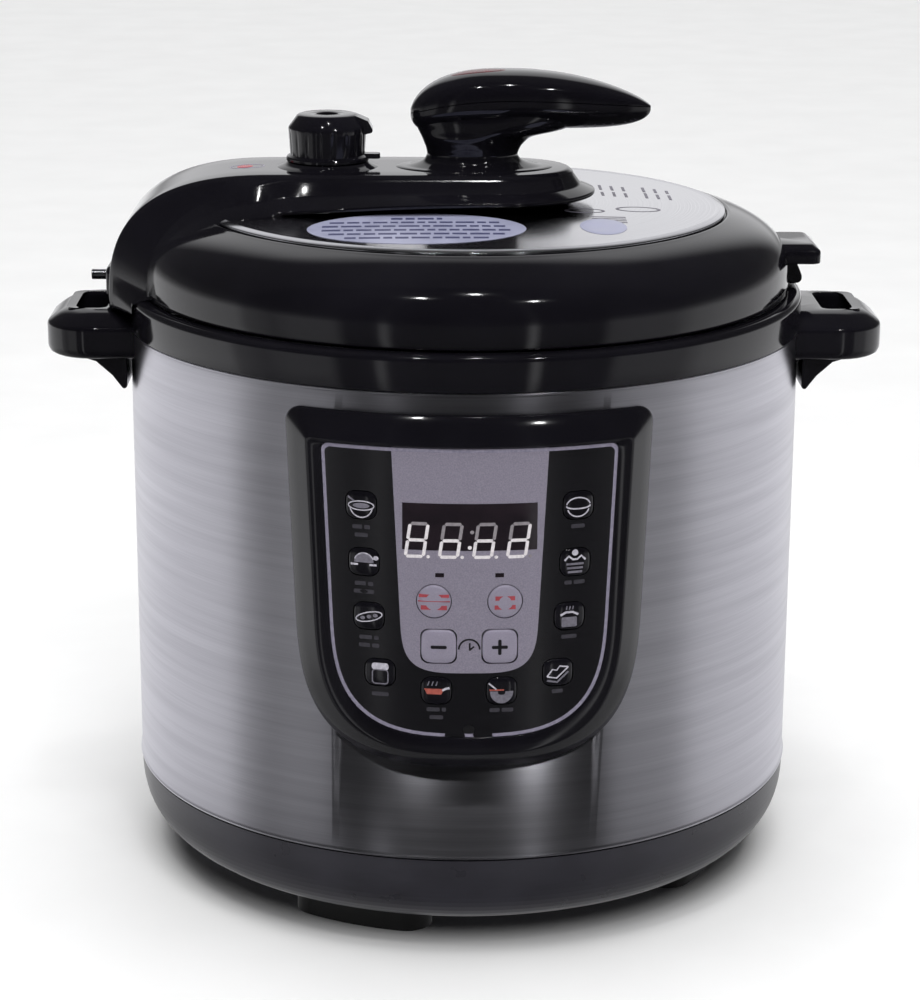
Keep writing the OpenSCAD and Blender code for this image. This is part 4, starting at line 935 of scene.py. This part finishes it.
def valve_knob():
    """Faintly fluted steam valve knob: chamfered top with a hole, a pointer lip and a skirt with a tab."""
    count, flutes = 216, 18

    def ring(r, z, depth):
        made = []
        for k in range(count):
            a = 2 * math.pi * k / count
            groove = depth * max(0.0, math.cos(a * flutes)) ** 3
            made.append((VALVE_X + (r - groove) * math.cos(a), (r - groove) * math.sin(a), z))
        return made

    stages = [(13, 316, 0), (18.1, 318.7, 0), (18.4, 319, 0), (18.4, 320, 0), (18, 320.7, 0), (16.7, 321.5, 0),
              (16.75, 322.6, 0.35), (17, 327, 0.35), (17.25, 331, 0.35), (17.4, 333, 0), (17.2, 333.7, 0),
              (15.4, 336, 0), (13.5, 338.6, 0), (12.8, 339.1, 0), (12, 339.3, 0), (8, 339.3, 0), (5.2, 339.3, 0),
              (4.8, 339.1, 0), (4.6, 338.6, 0), (4.6, 333, 0)]
    body = loft([ring(r, z, depth) for r, z, depth in stages])
    lip_side = [(11, 333), (16.6, 330.6), (19.6, 331.3), (20.2, 332.1), (20.1, 333), (18.1, 336.6), (12.6, 338.9),
                (11, 338.9)]
    lip = loft([[(VALVE_X + x, y, z) for x, z in lip_side] for y in (-5.6, 5.6)])
    tab = loft([[(VALVE_X + x, y, z) for x, y in rounded_box(15.5, 23.4, -3, 3, [1.6, 0.4, 0.4, 1.6], 4)]
                for z in (319.5, 321.8)])
    dot = lathe([(0.01, 339.0), (1.5, 339.0), (1.5, 339.28), (0.01, 339.28)], 24, VALVE_X + 8.8)
    piece("valve_knob_body", "valve_knob", [(body, GLOSS)], ["valve_knob"], sharp=28)
    piece("valve_knob_lip", "valve_knob", [(joined(lip, tab), GLOSS)], ["valve_knob"], bevel=0.4)
    piece("valve_knob_dot", "valve_knob", [(dot, MATT)])


def docking_tab():
    """Tab on the lid's right side with bevelled top edges, and the hook under it."""
    outline = rounded_box(131, 158, -19, 19, [2.6, 0.5, 0.5, 2.6], 5)

    def ring(inset, z):
        return [(x - inset if x > 145 else x, y - math.copysign(inset, y), z) for x, y in outline]

    body = loft([ring(0.8, 275.3), ring(0.2, 275.6), ring(0, 276.3), ring(0, 280.6), ring(0.25, 281.2),
                 ring(1.4, 282.2), ring(1.9, 282.5), ring(3.1, 283.55), ring(3.8, 283.8)])
    hook_side = [(140, 276), (148, 276), (151.2, 268.4), (151.4, 266.4), (150.3, 264.9), (147.6, 264.4), (145, 264.8),
                 (140, 268)]
    hook = loft([[(x, y, z) for x, z in hook_side] for y in (-8, 8)])
    stands_for = ["lid_tab"] if "lid_tab" in NODES else []
    piece("docking_tab", "lid", [(body, GLOSS)], stands_for, sharp=40)
    piece("docking_hook", "lid", [(hook, GLOSS)], stands_for, bevel=0.8)


# ---- grip on top

GRIP_MID = 19.7


def grip_fill(x):
    """How full the grip's outline is at x: 0 at its ends, 1 in the middle."""
    half = 44.2 if x < GRIP_MID else 63.2
    return max(0.0, 1 - (abs(x - GRIP_MID) / half) ** 2.1) ** (1 / 2.1)


def grip_half_w(x):
    taper = 1 - 0.35 * ((x - GRIP_MID) / 63) ** 1.6 if x > GRIP_MID else 1.0
    return 18.6 * grip_fill(x) ** 0.85 * taper


def grip_stations():
    """Stations along the grip, closer together towards both ends."""
    left = [GRIP_MID - 44.0 * math.sin(math.pi / 2 * i / 20) for i in range(20, 0, -1)]
    return left + [GRIP_MID + 62.3 * math.sin(math.pi / 2 * i / 28) for i in range(29)]


def split_z(x):
    """Height of the line between the grip's two halves."""
    if x > 22:
        return GRIP_SPLIT_Z + 4.2 * (1 - min(1.0, (x - 22) / 60) ** 1.6)
    return GRIP_SPLIT_Z - 3 + 7.2 * (1 - ((22 - x) / 46.4) ** 2.3)


def crown_z(x):
    """Height of the cap along its middle."""
    if x < GRIP_MID:
        return GRIP_SPLIT_Z - 3 + (GRIP_TOP_Z - GRIP_SPLIT_Z + 3) * (1 - ((GRIP_MID - x) / 44.2) ** 2.9) ** (1 / 1.7)
    return GRIP_SPLIT_Z + (GRIP_TOP_Z - GRIP_SPLIT_Z) * (1 - ((x - GRIP_MID) / 62.6) ** 2) ** 0.8


def belly_z(x):
    """Height of the grip's underside along its middle."""
    if x < GRIP_MID:
        return GRIP_SPLIT_Z - 3 - 9.5 * (1 - ((GRIP_MID - x) / 44.1) ** 8) ** 0.4
    return GRIP_SPLIT_Z - 10 * (1 - ((x - GRIP_MID) / 62.8) ** 5) ** 0.4


def cap_z(x, y):
    """Height of the cap's skin above (x, y)."""
    c = min(1.0, abs(y) / max(grip_half_w(x), 0.01)) ** (1 / 0.8)
    return split_z(x) + (crown_z(x) - split_z(x)) * math.sqrt(1 - c * c) ** 0.8


def grip():
    """Grip in two halves with a fine parting groove: a domed cap over a belly that runs into the neck."""
    gap = 0.2

    def cap_ring(x):
        w, split, rise = grip_half_w(x), split_z(x), crown_z(x) - split_z(x) - gap
        made = []
        for k in range(37):
            c, s = math.cos(math.pi * k / 36), max(0.0, math.sin(math.pi * k / 36))
            made.append((x, -math.copysign(w * abs(c) ** 0.8, c), split + gap + rise * s ** 0.8))
        inset = 0.7 if w > 2 else 0.2
        return made + [(x, w - inset, split), (x, 0, split), (x, inset - w, split)]

    def belly_ring(x):
        w, split = grip_half_w(x), split_z(x)
        drop = belly_z(x) - split + gap
        half = smooth_path([(1, 0), (1, 0.12), (0.97, 0.3), (0.86, 0.48), (0.62, 0.74), (0.3, 0.94), (0, 1)], 3)
        made = [(x, w * a, split - gap + drop * b) for a, b in half]
        made += [(x, -w * a, split - gap + drop * b) for a, b in half[-2::-1]]
        inset = 0.7 if w > 2 else 0.2
        return made + [(x, inset - w, split), (x, 0, split), (x, w - inset, split)]

    stations = grip_stations()
    piece("grip_cap", "lid", [(loft([cap_ring(x) for x in stations]), GLOSS)], ["handle_cap"], sharp=40)
    neck = [(312, -32, 40, 21.6), (316.05, -31, 39, 21), (316.8, -25, 33, 18.5), (318.5, -19.5, 26.5, 15.5),
            (321, -17.2, 23.6, 14.2), (324, -17.4, 24.2, 14.4), (327, -18.5, 26.4, 15), (330, -19.8, 31, 15.8),
            (333, -21.3, 44, 16.2), (337, -23, 52, 16.4), (341, -23.4, 58, 16)]
    rings = []
    for z, left, right, half in smooth_path(neck, 6):
        rings.append([((left + right) / 2 + (right - left) / 2 * math.cos(2 * math.pi * k / 72),
                       half * math.sin(2 * math.pi * k / 72), z) for k in range(72)])
    belly = loft([belly_ring(x) for x in stations])
    piece("grip_base", "lid", [(joined(belly, loft(rings)), GLOSS)], ["handle_base"], sharp=40)
    mark = []
    for scale, lift in ((1.0, -0.1), (1.0, 0.0), (0.97, 0.08), (0.7, 0.08), (0.4, 0.08), (0.1, 0.08)):
        mark.append([(5.5 + 12 * scale * math.cos(a), -3 + 4 * scale * math.sin(a),
                      cap_z(5.5 + 12 * scale * math.cos(a), -3 + 4 * scale * math.sin(a)) + lift)
                     for a in (2 * math.pi * k / 48 for k in range(48))])
    piece("grip_mark", "lid", [(loft(mark), DARK_RED)], ["handle_mark"])


# ---- build

sleeve()
collar_and_handles()
bezel()
panel_trim()
digits()
keys()
lid_shell()
insert()
insert_label()
bridge()
valve_seat()
valve_knob()
docking_tab()
grip()

# CAD nodes that keep their own mesh
KEPT_FINISHES = {
    "base_tray": BASE, "feet": RUBBER,
    "panel_overlay": FILM, "panel_carrier": MATT, "panel_screw": MATT, "display_window": PANE,
    "display_module": MATT, "control_board": BOARD, "key_switches": MATT,
    "power_board": BOARD, "power_inlet": MATT, "inlet_pins": BRASS, "cup_bracket": MATT,
    "condensation_cup": CUP, "inner_pot": DRAWN, "sealing_ring": SILICONE, "outer_pot": CAST,
    "heating_plate": CAST, "pressure_plate": ZINC, "pressure_switch": CERAMIC, "thermal_fuse": CERAMIC,
    "sensor_plunger": CAST, "sensor_spring": ZINC, "base_screws": ZINC, "lid_plate": DRAWN,
    "ring_retainer": ZINC, "lid_screws": ZINC, "steam_shield": DRAWN, "vent_pipe": ZINC,
    "float_seal": SILICONE, "float_valve": RED, "valve_needle": ZINC, "push_rod": ZINC,
    "push_rod_spring": ZINC}
for name, finish in KEPT_FINISHES.items():
    slots = NODES[name].data.materials
    for i in range(len(slots)):
        slots[i] = finish


# ---- studio

def studio():
    """Pale floor, a soft surround and soft lamps. The surround is bright behind and at the sides and
    dark in front with two narrow window strips, which the steel and the gloss plastic mirror."""
    floor_size = 12.0
    mesh = bpy.data.meshes.new("floor")
    mesh.from_pydata([(-floor_size, -floor_size, 0), (floor_size, -floor_size, 0), (floor_size, floor_size, 0),
                      (-floor_size, floor_size, 0)], [], [(0, 1, 2, 3)])
    mesh.materials.append(FLOOR)
    floor = bpy.data.objects.new("floor", mesh)
    bpy.context.scene.collection.objects.link(floor)
    floor.visible_glossy = False

    world = bpy.data.worlds.new("studio")
    bpy.context.scene.world = world
    world.use_nodes = True
    tree = world.node_tree
    tree.nodes.clear()
    way = node(tree, "SeparateXYZ", {0: node(tree, "TexCoord").outputs["Generated"]})
    front = node(tree, "Math", {0: way.outputs["Y"], 1: -1.0}, operation="MULTIPLY")
    turn = node(tree, "Math", {0: way.outputs["X"], 1: front.outputs[0]}, operation="ARCTAN2")
    share = node(tree, "MapRange", {"Value": turn.outputs[0], "From Min": -math.pi, "From Max": math.pi})

    def at(degrees):
        return (degrees + 180) / 360

    round_stops = [(at(-180), 1.0), (at(-100), 0.95), (at(-86), 0.9), (at(-82), 0.5), (at(-70), 0.3), (at(-62), 0.42),
                   (at(-46), 0.42), (at(-42), 0.07), (at(-30.5), 0.07), (at(-29), 0.8), (at(-27.5), 0.8),
                   (at(-26), 0.07), (at(20.5), 0.07), (at(21.6), 1.0), (at(23.4), 1.0), (at(24.5), 0.07),
                   (at(47), 0.07), (at(51), 0.4), (at(76), 0.45), (at(86), 0.8), (at(100), 0.9), (at(180), 1.0)]
    around = node(tree, "ValToRGB", {"Fac": share.outputs[0]}, stops=round_stops)
    rise = node(tree, "MapRange", {"Value": way.outputs["Z"], "From Min": -1.0, "From Max": 1.0})
    levels = node(tree, "ValToRGB", {"Fac": rise.outputs[0]},
                  stops=[(0.0, 0.2), (0.25, 0.5), (0.34, 1.0), (0.46, 1.0), (0.5, 0.4), (0.54, 0.12), (0.64, 0.06),
                         (1.0, 0.05)])
    room = node(tree, "Math", {0: around.outputs[0], 1: levels.outputs[0]}, operation="MULTIPLY")
    # white sweep straight behind, from the horizon up to about 45 degrees
    far = node(tree, "Math", {0: turn.outputs[0]}, operation="ABSOLUTE")
    sweep = node(tree, "MapRange", {"Value": far.outputs[0], "From Min": math.radians(148),
                                    "From Max": math.radians(164)}, interpolation_type="SMOOTHSTEP")
    high = node(tree, "ValToRGB", {"Fac": rise.outputs[0]},
                stops=[(0.5, 0.0), (0.54, 1.0), (0.84, 1.0), (0.89, 0.0)])
    glow = node(tree, "Math", {0: sweep.outputs[0], 1: high.outputs[0]}, operation="MULTIPLY")
    boost = node(tree, "Math", {0: glow.outputs[0], 1: 0.85, 2: room.outputs[0]}, operation="MULTIPLY_ADD")
    seen = node(tree, "LightPath").outputs["Is Camera Ray"]
    strength = node(tree, "Mix", {"Factor": seen, "A": boost.outputs[0], "B": 1.0})
    surround = node(tree, "Background", {"Color": linear("#fbfbfd"), "Strength": strength.outputs[0]})
    out = node(tree, "OutputWorld")
    tree.links.new(surround.outputs[0], out.inputs[0])

    def lamp(name, place, size, power, glossy):
        data = bpy.data.lights.new(name, "AREA")
        data.shape, data.size, data.energy = "DISK", size, power
        made = bpy.data.objects.new(name, data)
        made.location = place
        made.rotation_euler = (Vector((0, 0, 0.2)) - Vector(place)).to_track_quat("-Z", "Y").to_euler()
        made.visible_glossy = glossy
        bpy.context.scene.collection.objects.link(made)

    lamp("front_fill", (0.2, -2.2, 2.4), 1.8, 46, False)
    # an even, very soft overhead light, which keeps the floor white out to its edges
    over = bpy.data.lights.new("overhead", "SUN")
    over.energy, over.angle = 2.6, math.radians(60)
    sky = bpy.data.objects.new("overhead", over)
    sky.visible_glossy = False
    bpy.context.scene.collection.objects.link(sky)
    # small ceiling lamps, which show as bright dots in the gloss
    for i, place in enumerate(((-0.55, -1.3, 2.6), (0.1, -0.9, 2.9), (0.9, -1.6, 2.4))):
        lamp(f"ceiling_{i}", place, 0.09, 3, True)


def camera():
    """Camera a little above the lid and in front, looking down, with the object's own slight turn."""
    place = Vector((-0.0212, -1.2190, 0.5083))
    pitch, heading, roll = 0.2774, 0.0161, 0.0048
    forward = Vector((math.sin(heading) * math.cos(pitch), math.cos(heading) * math.cos(pitch), -math.sin(pitch)))
    right = Vector((math.cos(heading), -math.sin(heading), 0))
    up = right.cross(forward)
    across = right * math.cos(roll) + up * math.sin(roll)
    upward = up * math.cos(roll) - right * math.sin(roll)
    data = bpy.data.cameras.new("camera")
    data.lens, data.sensor_width, data.sensor_fit = 98.95, 36.0, "AUTO"
    made = bpy.data.objects.new("camera", data)
    back = -forward
    made.matrix_world = Matrix(((across.x, upward.x, back.x, place.x), (across.y, upward.y, back.y, place.y),
                                (across.z, upward.z, back.z, place.z), (0, 0, 0, 1)))
    bpy.context.scene.collection.objects.link(made)
    bpy.context.scene.camera = made


studio()
camera()
bpy.context.scene.view_settings.view_transform = "Standard"
